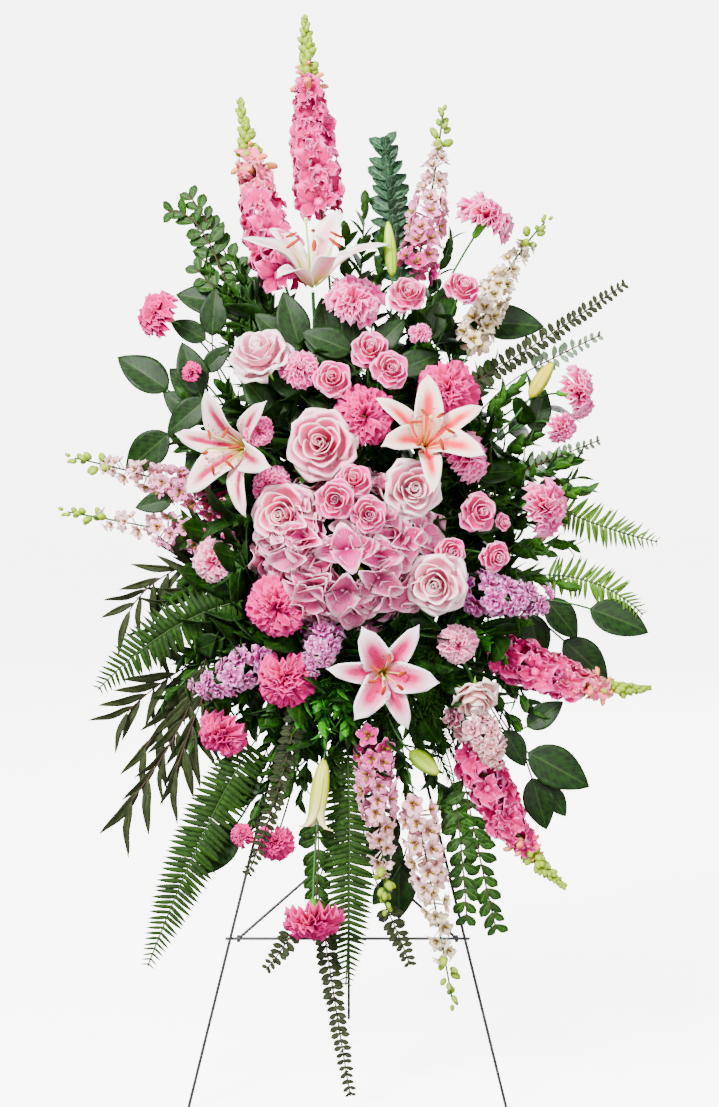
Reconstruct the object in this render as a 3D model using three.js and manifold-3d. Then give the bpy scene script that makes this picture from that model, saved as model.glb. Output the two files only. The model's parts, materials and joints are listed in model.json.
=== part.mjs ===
// A standing funeral spray on a folding wire easel: pink roses, carnations, lilies, snapdragons, larkspur,
// stock and a hydrangea, with fern, eucalyptus, myrtle and broad leaves, standing in a block of floral foam.
// Millimetres, +Z up, the front of the spray faces -Y, and the easel's three feet stand on z = 0.
import * as THREE from "three";
import { mergeVertices } from "three/addons/utils/BufferGeometryUtils.js";
import Module from "manifold-3d";

const wasm = await Module();
wasm.setup();

// Driving dimensions of the easel
const WIRE_R = 2; // half the easel wire's thickness
const FOOT_HALF = 211; // half the distance between the front feet
const APEX_Z = 850; // height where the front legs would meet
const APEX_Y = 198; // how far back the front legs lean at that height
const REAR_FOOT_Y = 446;
const CROSSBAR_Z = 218;
const CROSSBAR_PAST_LEG = 7;
const PIN_Z = 820; // the pin that the rear leg hangs on
const LEG_TOP_Z = 838;
const STAY_Z = 280; // where the folding stay meets the rear leg
const STAY_HALF = 146; // half the distance between the stay's eyes
const EYE_R = 5;
const EYE_WIDTH = 4.4;
const RUNNING_GAP = 0.5; // between an eye and the wire in it
const SEAT_GAP = 0.3; // between pieces that rest on each other

// Driving dimensions of the foam and its holder
const FOAM = { width: 150, depth: 80, height: 220, centreZ: 740 };
const HOLDER = { stand: 8, wall: 3, rim: 14, railHeight: 14, railAt: 62 };
const STEM_IN_FOAM = 22; // how deep a stem stands in the foam
const STRAIGHT_OUT = 8; // how far it runs straight out of its hole

// Stems, blades and the room that each piece keeps round it
const STEM_R = 2.6;
const THIN_STEM_R = 1.7;
const BLADE = 0.8; // thickness of a leaf or petal
const CLEAR = 0.4;
const GOLDEN = Math.PI * (3 - Math.sqrt(5));

const vec = (x, y, z) => new THREE.Vector3(x, y, z);
const point = (list) => vec(...list);
const UP = vec(0, 0, 1);
const VIEWER = vec(0, -1, 0);
const lean = Math.atan2(APEX_Y, APEX_Z);
const planeY = (z) => (z * APEX_Y) / APEX_Z; // the front legs' plane at a height
const planeUp = vec(0, Math.sin(lean), Math.cos(lean));
const planeOut = vec(0, -Math.cos(lean), Math.sin(lean)); // towards the viewer

// Closed surfaces from points and triangles, and from three.js geometry
function solidFrom(points, triangles) {
  const numbers = new Float32Array(points.flatMap((p) => [p.x, p.y, p.z]));
  const make = (list) =>
    new wasm.Manifold(new wasm.Mesh({ numProp: 3, vertProperties: numbers, triVerts: new Uint32Array(list) }));
  const kept = triangles.filter(([a, b, c]) => a !== b && b !== c && c !== a);
  const made = make(kept.flat());
  return made.volume() < 0 ? make(kept.map(([a, b, c]) => [a, c, b]).flat()) : made;
}

function solidOf(geometry) {
  const bare = geometry.clone();
  bare.deleteAttribute("normal");
  bare.deleteAttribute("uv");
  const merged = mergeVertices(bare, 1e-4);
  return new wasm.Manifold(
    new wasm.Mesh({
      numProp: 3,
      vertProperties: merged.attributes.position.array,
      triVerts: new Uint32Array(merged.index.array),
    }),
  );
}

function geometryOf(solid) {
  const mesh = solid.getMesh();
  const geometry = new THREE.BufferGeometry();
  const positions = new Float32Array(mesh.numVert * 3);
  for (let i = 0; i < mesh.numVert; i++) {
    positions.set(mesh.vertProperties.subarray(i * mesh.numProp, i * mesh.numProp + 3), i * 3);
  }
  geometry.setAttribute("position", new THREE.BufferAttribute(positions, 3));
  geometry.setIndex(new THREE.BufferAttribute(new Uint32Array(mesh.triVerts), 1));
  geometry.computeVertexNormals();
  return geometry;
}

const joined = (solids) => solids.reduce((whole, next) => whole.add(next));

function box(width, depth, height, centre, turn = 0) {
  const geometry = new THREE.BoxGeometry(width, depth, height);
  geometry.rotateX(turn);
  geometry.translate(centre.x, centre.y, centre.z);
  return solidOf(geometry);
}

// A skin over rings of equally many points, closed at each end by a point or by a flat fan
function skin(rings, first, last) {
  const n = rings[0].length;
  const points = rings.flat();
  const triangles = [];
  for (let k = 0; k + 1 < rings.length; k++) {
    for (let j = 0; j < n; j++) {
      const a = k * n + j;
      const b = k * n + ((j + 1) % n);
      triangles.push([a, b, b + n], [a, b + n, a + n]);
    }
  }
  const close = (start, tip, flip) => {
    const fan = [];
    if (tip) {
      points.push(tip);
      for (let j = 0; j < n; j++) fan.push([points.length - 1, start + ((j + 1) % n), start + j]);
    } else {
      for (let j = 1; j + 1 < n; j++) fan.push([start, start + j + 1, start + j]);
    }
    triangles.push(...(flip ? fan.map(([a, b, c]) => [a, c, b]) : fan));
  };
  close(0, first, false);
  close((rings.length - 1) * n, last, true);
  return solidFrom(points, triangles);
}

// Two directions square to a given one
function across(direction, hint = UP) {
  const side = vec(0, 0, 0).crossVectors(direction, hint);
  if (side.lengthSq() < 1e-4) side.crossVectors(direction, VIEWER);
  side.normalize();
  return [side, vec(0, 0, 0).crossVectors(side, direction).normalize()];
}

// The part of a direction that is square to another, so that rings along a path keep their roll
const carried = (side, direction) => side.clone().addScaledVector(direction, -side.dot(direction)).normalize();

function ring(centre, direction, radii, turn = 0, side = across(direction)[0]) {
  const up = vec(0, 0, 0).crossVectors(side, direction);
  return radii.map((r, j) => {
    const angle = turn + (2 * Math.PI * j) / radii.length;
    return centre
      .clone()
      .addScaledVector(side, r * Math.cos(angle))
      .addScaledVector(up, r * Math.sin(angle));
  });
}

const evenly = (count, radius) => Array(count).fill(radius);

// A wire or stem of constant section through a list of points
function rod(points, radius, sides = 3) {
  let side = across(points[1].clone().sub(points[0]).normalize())[0];
  const rings = points.map((p, i) => {
    const before = points[Math.max(i - 1, 0)];
    const after = points[Math.min(i + 1, points.length - 1)];
    const direction = after.clone().sub(before).normalize();
    side = carried(side, direction);
    return ring(p, direction, evenly(sides, radius), 0, side);
  });
  return skin(rings);
}

// A stem with three sides; its room also reaches past both ends
function stem(points, grow, radius = STEM_R) {
  const first = points[0].clone().addScaledVector(points[0].clone().sub(points[1]).normalize(), grow);
  const end = points[points.length - 1];
  const last = end.clone().addScaledVector(end.clone().sub(points[points.length - 2]).normalize(), grow);
  return rod([first, ...points.slice(1, -1), last], radius + 2 * grow, 3);
}

// A leaf or petal: stations of [share of length, half width, rise, rise of the edges], all as shares of the length
function blade({ base, along, face, length, outline, grow = 0 }) {
  const forward = along.clone().normalize();
  const side = vec(0, 0, 0).crossVectors(forward, face).normalize();
  const normal = vec(0, 0, 0).crossVectors(side, forward).normalize();
  const points = [];
  const add = (p) => points.push(p) - 1;
  const layer = (depth) =>
    outline.map(([at, half, rise, edge], i) => {
      const last = i === outline.length - 1;
      const reach = at * length + (last ? grow : 0);
      const centre = base.clone().addScaledVector(forward, reach).addScaledVector(normal, rise * length + depth);
      const tip = add(centre);
      if (half === 0) return [tip, tip, tip];
      const wide = half * length + grow;
      const edges = [-1, 1].map((sign) =>
        add(centre.clone().addScaledVector(side, sign * wide).addScaledVector(normal, edge * length)),
      );
      return [edges[0], tip, edges[1]];
    });
  const top = layer(BLADE / 2 + grow);
  const under = layer(-BLADE / 2 - grow);
  const triangles = [];
  for (let i = 0; i + 1 < outline.length; i++) {
    for (const [a, b] of [[0, 1], [1, 2]]) {
      triangles.push([top[i][a], top[i][b], top[i + 1][b]], [top[i][a], top[i + 1][b], top[i + 1][a]]);
      triangles.push([under[i][b], under[i][a], under[i + 1][b]], [under[i + 1][b], under[i][a], under[i + 1][a]]);
    }
    triangles.push([top[i][0], top[i + 1][0], under[i + 1][0]], [top[i][0], under[i + 1][0], under[i][0]]);
    triangles.push([top[i + 1][2], top[i][2], under[i][2]], [top[i + 1][2], under[i][2], under[i + 1][2]]);
  }
  const [l, c, r] = top[0];
  const [ul, uc, ur] = under[0];
  triangles.push([l, ul, c], [c, ul, uc], [c, uc, r], [r, uc, ur]);
  return solidFrom(points, triangles);
}

// A thin arched blade cut to its rib: pairs of leaflets along a path, all in one closed surface.
// Leaflets with a width stand apart, and those without one meet at the rib, as on a fern.
function comb({ path, from, to, pairs, length, width, sweep, face, grow = 0, shape = "pointed" }) {
  const points = [];
  const add = (p) => points.push(p) - 1;
  const step = (to - from) / pairs;
  const half = (t) => (t < 0.999 ? 1.1 : 0.6);
  const frame = (t) => {
    const at = path.getPoint(Math.min(t, 1));
    const forward = path.getTangent(Math.min(t, 0.999)).normalize();
    const side = vec(0, 0, 0).crossVectors(forward, face).normalize();
    return { at, forward, side, normal: vec(0, 0, 0).crossVectors(side, forward).normalize() };
  };
  const both = (p, normal) => [
    add(p.clone().addScaledVector(normal, BLADE / 2 + grow)),
    add(p.clone().addScaledVector(normal, -BLADE / 2 - grow)),
  ];
  const triangles = [];
  const face3 = (a, b, c) => triangles.push([a[0], b[0], c[0]], [a[1], c[1], b[1]]);
  const rim = (a, b) => triangles.push([a[0], b[0], b[1]], [a[0], b[1], a[1]]);
  const station = (t) => {
    const f = frame(t);
    return [-1, 1].map((sign) => both(f.at.clone().addScaledVector(f.side, sign * (half(t) + grow)), f.normal));
  };
  let current = station(from);
  rim(current[1], current[0]);
  const strip = (next) => {
    face3(current[0], current[1], next[1]);
    face3(current[0], next[1], next[0]);
  };
  for (let i = 0; i < pairs; i++) {
    const t = from + i * step;
    const share = (i + 0.5) / pairs;
    const reach = length(share) + grow;
    const room = width + 2 * grow;
    const next = station(t + (width ? room / path.getLength() : step));
    strip(next);
    const f = frame(t + step * 0.35);
    [-1, 1].forEach((sign, s) => {
      const out = f.side.clone().multiplyScalar(sign).addScaledVector(f.forward, sweep).normalize();
      const tip = both(f.at.clone().addScaledVector(out, reach).addScaledVector(f.normal, -0.12 * reach), f.normal);
      const edge = (a, b) => (s ? rim(b, a) : rim(a, b));
      const fill = (a, b, c) => (s ? face3(a, b, c) : face3(a, c, b));
      if (shape === "oval") {
        const belly = [-1, 1].map((way) =>
          both(
            f.at
              .clone()
              .addScaledVector(out, reach * 0.6)
              .addScaledVector(vec(0, 0, 0).crossVectors(f.normal, out), (way * sign * room) / 1.4),
            f.normal,
          ),
        );
        const [inner, outer] = belly;
        fill(current[s], inner, outer);
        fill(current[s], outer, next[s]);
        fill(inner, tip, outer);
        edge(current[s], inner);
        edge(inner, tip);
        edge(tip, outer);
        edge(outer, next[s]);
      } else {
        fill(current[s], tip, next[s]);
        edge(current[s], tip);
        edge(tip, next[s]);
      }
    });
    current = next;
    if (width && i + 1 < pairs) {
      const after = station(t + step);
      strip(after);
      rim(current[0], after[0]);
      rim(after[1], current[1]);
      current = after;
    }
  }
  rim(current[0], current[1]);
  return solidFrom(points, triangles);
}

// Flower heads

// Rows of [share of the radius, share of the height, how far the petals part], from the calyx to the heart
const ROSE = [
  [0.84, -0.16, 0.03],
  [1, 0.16, 0.07],
  [0.76, 0.12, 0.02],
  [0.74, 0.4, 0.08],
  [0.5, 0.26, 0.02],
  [0.46, 0.52, 0.1],
  [0.22, 0.36, 0.02],
];
const SMALL_ROSE = [
  [0.98, 0.04, 0.08],
  [0.7, 0.14, 0.02],
  [0.62, 0.42, 0.1],
  [0.3, 0.3, 0.02],
];
const CARNATION = [
  [0.2, -0.42, 0],
  [1, 0.02, 0.1],
  [0.7, 0.06, 0.03],
  [0.72, 0.3, 0.12],
  [0.3, 0.24, 0.06],
];

// The room that a head takes, as rows of [share of the radius, share of the height]
const ROSE_ROOM = [
  [0.5, -0.63],
  [1.2, 0.1],
  [0.95, 0.57],
];
const CARNATION_ROOM = [
  [0.18, -1.03],
  [0.34, -0.44],
  [1.25, 0.03],
  [0.9, 0.47],
];

// A head of layered petals: each row is a ring whose radius steps in and out round the head
function petalled({ centre, facing, radius, rows, room, sides, petalStep, heart, base, grow = 0 }) {
  if (grow > 0) {
    const level = (h) => centre.clone().addScaledVector(facing, h * radius);
    return skin(room.map(([r, h]) => ring(level(h), facing, evenly(8, r * radius + grow))));
  }
  const rings = rows.map(([r, h, part], k) => {
    const radii = evenly(sides, 0).map((_, j) => radius * r * (1 + ((j + k) % petalStep === 0 ? -part : part)));
    return ring(centre.clone().addScaledVector(facing, h * radius), facing, radii, (k * Math.PI) / sides);
  });
  const back = centre.clone().addScaledVector(facing, base * radius);
  const front = centre.clone().addScaledVector(facing, heart * radius);
  return skin(rings, back, front);
}

const ROSE_FORM = { rows: ROSE, room: ROSE_ROOM, sides: 12, petalStep: 3, heart: 0.5, base: -0.6 };
const SMALL_ROSE_FORM = { ...ROSE_FORM, rows: SMALL_ROSE, sides: 8 };
const CARNATION_FORM = { rows: CARNATION, room: CARNATION_ROOM, petalStep: 2, heart: 0.4, base: -1 };
const rose = (spot) => petalled({ ...spot, ...ROSE_FORM });
const sprayRose = (spot) => petalled({ ...spot, ...SMALL_ROSE_FORM });
const carnation = (spot) => petalled({ ...spot, ...CARNATION_FORM, sides: spot.radius < 23 ? 6 : 8 });

// A floret like a small funnel: a scalloped rim, a sunk throat and a point that stands in what carries it
function floret({ at, facing, radius, depth, petals, grow = 0 }) {
  const radii = evenly(2 * petals, 0).map((_, j) => (j % 2 ? 0.62 : 1) * radius + grow);
  const rim = ring(at.clone().addScaledVector(facing, grow), facing, radii, facing.x * 3);
  const back = at.clone().addScaledVector(facing, -depth);
  return skin([rim], back, at.clone().addScaledVector(facing, grow - 0.25 * radius));
}

// A long lily bud on six sides
const LILY_BUD = [
  [0.06, 0.32],
  [0.3, 0.92],
  [0.6, 1],
  [0.88, 0.6],
];
function lilyBud({ from, to, radius, grow = 0 }) {
  const axis = to.clone().sub(from).normalize();
  const rings = LILY_BUD.map(([at, wide]) => ring(from.clone().lerp(to, at), axis, evenly(6, wide * radius + grow)));
  return skin(rings, from.clone().addScaledVector(axis, -grow), to.clone().addScaledVector(axis, grow));
}

const OUTER_PETAL = [
  [0, 0.03, 0, 0],
  [0.55, 0.13, 0.04, 0.02],
  [1, 0, -0.12, 0],
];
const INNER_PETAL = [
  [0, 0.03, 0, 0],
  [0.52, 0.21, 0.04, 0.03],
  [1, 0, -0.14, 0],
];
const INNER_OPEN = 0.9; // radians between an inner petal and the way the lily faces
const OUTER_OPEN = 1.12;

// A lily: three broad and three narrow petals from one throat, six stamens and a pistil
function lily({ centre, facing, radius, turn, grow = 0 }) {
  const [side, up] = across(facing);
  const around = (angle, open) =>
    facing
      .clone()
      .multiplyScalar(Math.cos(open))
      .addScaledVector(side, Math.cos(angle) * Math.sin(open))
      .addScaledVector(up, Math.sin(angle) * Math.sin(open));
  const petals = evenly(6, 0).map((_, i) => {
    const angle = turn + (i * Math.PI) / 3;
    return blade({
      base: centre.clone().addScaledVector(around(angle, Math.PI / 2), 2.5).addScaledVector(facing, i % 2 ? 2 : -2),
      along: around(angle, i % 2 ? INNER_OPEN : OUTER_OPEN),
      face: facing,
      length: radius * 1.06,
      outline: i % 2 ? INNER_PETAL : OUTER_PETAL,
      grow,
    });
  });
  const filaments = evenly(4, 0).map((_, i) => {
    const way = i ? around(turn + (2 * i * Math.PI) / 3 + 0.5, 0.34) : around(turn, 0.06);
    return stem([centre, centre.clone().addScaledVector(way, (i ? 0.72 : 0.84) * radius)], grow, 1);
  });
  const cup = skin(
    [ring(centre, facing, evenly(6, 0.09 * radius + grow))],
    centre.clone().addScaledVector(facing, -0.16 * radius - grow),
    centre.clone().addScaledVector(facing, 0.07 * radius + grow),
  );
  return joined([cup, ...petals, ...filaments]);
}

// A dense round head: funnel florets all over a smaller core
function hydrangea({ centre, radii, florets, size, grow = 0 }) {
  const swell = grow > 0 ? 1.28 : 0.8;
  const rows = grow > 0 ? [-0.75, -0.3, 0.3, 0.75] : [-0.7, 0, 0.7];
  const oval = (h) =>
    ring(vec(0, 0, h * swell), UP, evenly(8, Math.sqrt(1 - h * h) * swell)).map((p) => p.multiply(radii).add(centre));
  const end = (sign) => centre.clone().addScaledVector(UP, sign * radii.z * swell);
  const core = skin(rows.map(oval), end(-1), end(1));
  if (grow > 0) return core;
  const placed = evenly(florets, 0).map((_, i) => {
    const height = 1 - (2 * i + 1) / florets;
    const angle = i * GOLDEN;
    const flat = Math.sqrt(1 - height * height);
    const onBall = vec(flat * Math.cos(angle), height, flat * Math.sin(angle));
    const facing = onBall.clone().divide(radii).normalize();
    const at = centre.clone().add(onBall.multiply(radii));
    return floret({ at, facing, radius: size, depth: 0.36 * radii.y + 6, petals: 4 });
  });
  return joined([core, ...placed]);
}

// A spike in one skin: whorls of florets with scalloped rims up a stem, then whorls of buds to its tip.
// Each whorl is a rim that stands out and a throat just past it, and turns half a floret from the last.
function spike({ path, whorls, to, reach, lobes, budWhorls, budReach, grow = 0 }) {
  const at = (t) => path.getPoint(t);
  let side = across(path.getTangent(0).normalize(), VIEWER)[0];
  const ringAt = (t, radii, turn = 0) => {
    const direction = path.getTangent(t).normalize();
    side = carried(side, direction);
    return ring(at(t), direction, radii, turn, side);
  };
  if (grow > 0) {
    const room = [[0.001, 1.38], [to, 0.98], [0.999, 0.4]];
    return skin(room.map(([t, share]) => ringAt(t, evenly(6, share * reach + grow))));
  }
  const rings = [];
  const whorl = (t, step, rim, throat, turn) => {
    const star = evenly(2 * lobes, 0).map((_, j) => (j % 2 ? 0.5 : 1 + 0.1 * Math.sin(2.4 * j + 5 * t)) * rim);
    rings.push(ringAt(t, star, turn));
    rings.push(ringAt(t + 0.25 * step, evenly(2 * lobes, throat), turn));
  };
  const step = to / whorls;
  for (let i = 0; i < whorls; i++) {
    const rim = reach * (1 - 0.35 * (i / whorls));
    whorl((i + 0.4) * step, step, rim, 0.3 * rim, (i * Math.PI) / lobes);
  }
  const budStep = (0.98 - to) / Math.max(budWhorls, 1);
  for (let i = 0; i < budWhorls; i++) {
    const rim = budReach * (1 - 0.5 * (i / budWhorls));
    whorl(to + (i + 0.4) * budStep, budStep, rim, 0.4 * rim, (i * Math.PI) / lobes);
  }
  return skin(rings, at(0), at(1));
}

// Where a stem may run: it keeps clear of every wire, stem and head already placed
const runs = []; // { points, radius } of wires and stems
const heads = []; // { centre, facing, radius, half } of flower heads
const BEHIND_LEGS = 6; // what grows stays this far in front of the front legs' plane

function segmentGap(p, q, r, s) {
  const [ux, uy, uz] = [q.x - p.x, q.y - p.y, q.z - p.z];
  const [vx, vy, vz] = [s.x - r.x, s.y - r.y, s.z - r.z];
  const [wx, wy, wz] = [p.x - r.x, p.y - r.y, p.z - r.z];
  const a = ux * ux + uy * uy + uz * uz;
  const e = vx * vx + vy * vy + vz * vz;
  const b = ux * vx + uy * vy + uz * vz;
  const c = ux * wx + uy * wy + uz * wz;
  const f = vx * wx + vy * wy + vz * wz;
  const limit = (value) => Math.min(1, Math.max(0, value));
  const square = a * e - b * b;
  let along = square > 1e-6 ? limit((b * f - c * e) / square) : 0;
  let other = (b * along + f) / e;
  if (other < 0) {
    other = 0;
    along = limit(-c / a);
  } else if (other > 1) {
    other = 1;
    along = limit((b - c) / a);
  }
  return Math.hypot(wx + ux * along - vx * other, wy + uy * along - vy * other, wz + uz * along - vz * other);
}

// How much room a path has beyond its own radius, or less than nothing where it runs into something
function roomAlong(points, radius, own) {
  let room = Infinity;
  for (let i = 0; i + 1 < points.length; i++) {
    for (const run of runs) {
      if (own.includes(run)) continue;
      for (let j = 0; j + 1 < run.points.length; j++) {
        const gap = segmentGap(points[i], points[i + 1], run.points[j], run.points[j + 1]);
        room = Math.min(room, gap - radius - run.radius);
      }
    }
    const steps = Math.ceil(points[i].distanceTo(points[i + 1]) / 5);
    for (let k = 0; k <= steps; k++) {
      const p = points[i].clone().lerp(points[i + 1], k / steps);
      room = Math.min(room, planeY(p.z) - p.y - BEHIND_LEGS);
      for (const head of heads) {
        if (own.includes(head)) continue;
        const away = p.clone().sub(head.centre);
        const high = away.dot(head.facing);
        const wide = Math.sqrt(Math.max(away.lengthSq() - high * high, 0));
        const share = Math.hypot(high / (head.half + radius), wide / (head.radius + radius));
        room = Math.min(room, (share - 1) * head.half);
      }
    }
  }
  return room;
}

const foamCentre = vec(0, planeY(FOAM.centreZ), FOAM.centreZ).addScaledVector(
  planeOut,
  WIRE_R + 2 * SEAT_GAP + HOLDER.stand + HOLDER.wall + FOAM.depth / 2,
);
const foamAxes = [vec(1, 0, 0), planeUp, planeOut];
const foamHalf = [FOAM.width / 2, FOAM.height / 2, FOAM.depth / 2];
const FOAM_EDGE = 9; // stems stand at least this far from an edge of the foam
const SHIFTS = [0, 1, -1, 2, -2, 3, -3, 4, -4, 5, -5].flatMap((a) =>
  [0, 1, -1, 2, -2, 3, -3, 4, -4, 5, -5, 6, -6].map((b) => [a * 9, b * 9]),
).sort((one, two) => Math.hypot(...one) - Math.hypot(...two));
const BENDS = [0.35, 0.6, 0.15];
const BRANCH_SHARES = [0.3, 0.15, 0.45, 0.6, 0.8, 0.05, 0.95];

// Where a stem towards a target leaves the foam, moved over that face by a shift
function foamExit(target, shift) {
  const local = foamAxes.map((axis) => target.clone().sub(foamCentre).dot(axis));
  const reach = local.map((value, i) => Math.abs(value) / foamHalf[i]);
  const face = reach.indexOf(Math.max(...reach));
  const others = [0, 1, 2].filter((i) => i !== face);
  const at = local.map((value) => value / reach[face]);
  others.forEach((i, k) => {
    const most = foamHalf[i] - FOAM_EDGE;
    at[i] = Math.min(most, Math.max(-most, at[i] + shift[k]));
  });
  const place = foamCentre.clone();
  at.forEach((value, i) => place.addScaledVector(foamAxes[i], value));
  const normal = foamAxes[face].clone().multiplyScalar(Math.sign(local[face]));
  return { place, normal };
}

// A stem's points from inside the foam to a target that it reaches in a given direction
function stemPath(target, arrive, shift, bend) {
  const { place, normal } = foamExit(target, shift);
  const span = target.distanceTo(place);
  const away = target.clone().sub(place).normalize().addScaledVector(normal, 0.8).normalize();
  const inside = place.clone().addScaledVector(away, -STEM_IN_FOAM);
  const outside = place.clone().addScaledVector(away, STRAIGHT_OUT);
  const curve = new THREE.CubicBezierCurve3(
    outside,
    outside.clone().addScaledVector(away, span * 0.25),
    target.clone().addScaledVector(arrive, -span * bend),
    target,
  );
  return [inside, ...curve.getPoints(2)];
}

// A side stem's points, from a place on the main stem
function branchPath(main, share, target, arrive, bend) {
  const spot = 1 + share * (main.length - 2);
  const [before, after] = main.slice(Math.floor(spot), Math.floor(spot) + 2);
  const start = before.clone().lerp(after, spot % 1);
  const span = target.distanceTo(start);
  const onward = after.clone().sub(before).normalize();
  const curve = new THREE.CubicBezierCurve3(
    start,
    start.clone().addScaledVector(onward, span * 0.25),
    target.clone().addScaledVector(arrive, -span * bend),
    target,
  );
  return curve.getPoints(2);
}

const PLENTY = 1.2; // mm of room that ends the search for a path

function bestPath(choices, radius, own, head) {
  let best = null;
  for (const points of choices()) {
    const room = roomAlong(points, radius, [...own, head]);
    if (!best || room > best.room) best = { points, room };
    if (best.room > PLENTY) break;
  }
  const run = { points: best.points, radius };
  runs.push(run);
  own.push(run);
  return best.points;
}

function* mainChoices(target, arrive) {
  for (const shift of SHIFTS) {
    for (const bend of BENDS) yield stemPath(target, arrive, shift, bend);
  }
}

function* sideChoices(mains, target, arrive) {
  for (const bend of BENDS) {
    for (const share of BRANCH_SHARES) {
      for (const main of mains) yield branchPath(main, share, target, arrive, bend);
    }
  }
}

// The easel
const onPlane = (x, z, out = 0) => vec(x, planeY(z), z).addScaledVector(planeOut, out);
const legHalf = (z) => FOOT_HALF * (1 - z / APEX_Z);
const crossbarOut = -(2 * WIRE_R + SEAT_GAP); // the crossbar is welded behind the legs
const pin = onPlane(0, PIN_Z);
const rearFoot = vec(0, REAR_FOOT_Y, 0);
const stayEye = onPlane(STAY_HALF, CROSSBAR_Z, crossbarOut);
const stayMeets = rearFoot.clone().lerp(pin, STAY_Z / PIN_Z);

function belowFloor(solid) {
  return solid.subtract(box(2000, 2000, 40, vec(0, 0, -20)));
}

function frontLeg(sign, grow) {
  const top = onPlane(sign * legHalf(LEG_TOP_Z), LEG_TOP_Z);
  const foot = onPlane(sign * legHalf(-20), -20);
  return belowFloor(rod([foot, top], WIRE_R + grow * 1.1, 8));
}

function wireAlongX(centre, half, grow) {
  const end = vec(half, 0, 0);
  return rod([centre.clone().sub(end), centre.clone().add(end)], WIRE_R + grow * 1.1, 8);
}

// A loop of flat wire that turns on a wire along X
function eye(centre) {
  const part = (radius, width) => {
    const geometry = new THREE.CylinderGeometry(radius, radius, width, 8);
    geometry.rotateZ(Math.PI / 2);
    geometry.translate(centre.x, centre.y, centre.z);
    return solidOf(geometry);
  };
  return [part(EYE_R, EYE_WIDTH), part(WIRE_R + RUNNING_GAP, EYE_WIDTH * 2)];
}

function rearLeg(grow) {
  const [outside, hole] = eye(pin);
  const down = rearFoot.clone().sub(pin).normalize();
  const wire = rod(
    [pin.clone().addScaledVector(down, WIRE_R + 1), rearFoot.clone().addScaledVector(down, 20)],
    WIRE_R + grow * 1.1,
    8,
  );
  return belowFloor(outside.add(wire)).subtract(hole);
}

// Half of the folding stay: an eye on the crossbar, an arm, and a hook that passes behind the rear leg
function stay(sign, grow) {
  const start = stayEye.clone();
  start.x *= sign;
  const [outside, hole] = eye(start);
  const legWay = pin.clone().sub(rearFoot).normalize();
  const behind = vec(0, 0, 0).crossVectors(legWay, vec(1, 0, 0)).normalize();
  if (behind.y < 0) behind.negate();
  const hook = stayMeets.clone().addScaledVector(behind, 2 * WIRE_R + SEAT_GAP);
  const beside = hook.clone().add(vec(sign * (2 * WIRE_R + 1), 0, 0));
  const points = [
    start.clone().addScaledVector(beside.clone().sub(start).normalize(), WIRE_R + 1),
    beside,
    hook.clone().add(vec((sign * SEAT_GAP) / 2, 0, 0)),
  ];
  return outside.add(rod(points, WIRE_R + grow * 1.1, 8)).subtract(hole);
}

// The foam's holder: a plate behind it, a ledge above and below, and two rails that seat on the legs
function foamAt(across, up, out) {
  return foamCentre
    .clone()
    .addScaledVector(foamAxes[0], across)
    .addScaledVector(planeUp, up)
    .addScaledVector(planeOut, out);
}

const leanBox = (width, depth, height, centre) => box(width, depth, height, centre, -lean);

function holder() {
  const plateOut = -FOAM.depth / 2 - SEAT_GAP - HOLDER.wall / 2;
  const railOut = plateOut - HOLDER.wall / 2 - HOLDER.stand / 2;
  const tall = FOAM.height + 2 * (SEAT_GAP + HOLDER.wall);
  const plate = leanBox(FOAM.width, HOLDER.wall, tall, foamAt(0, 0, plateOut));
  const ledges = [-1, 1].map((sign) =>
    leanBox(
      FOAM.width,
      HOLDER.wall + HOLDER.rim,
      HOLDER.wall,
      foamAt(0, sign * (FOAM.height / 2 + SEAT_GAP + HOLDER.wall / 2), plateOut + HOLDER.rim / 2),
    ),
  );
  const rails = [-1, 1].map((sign) =>
    leanBox(110, HOLDER.stand + 0.2, HOLDER.railHeight, foamAt(0, sign * HOLDER.railAt, railOut + 0.1)),
  );
  return joined([plate, ...ledges, ...rails]);
}

const foam = () => leanBox(FOAM.width, FOAM.depth, FOAM.height, foamCentre);

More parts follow.
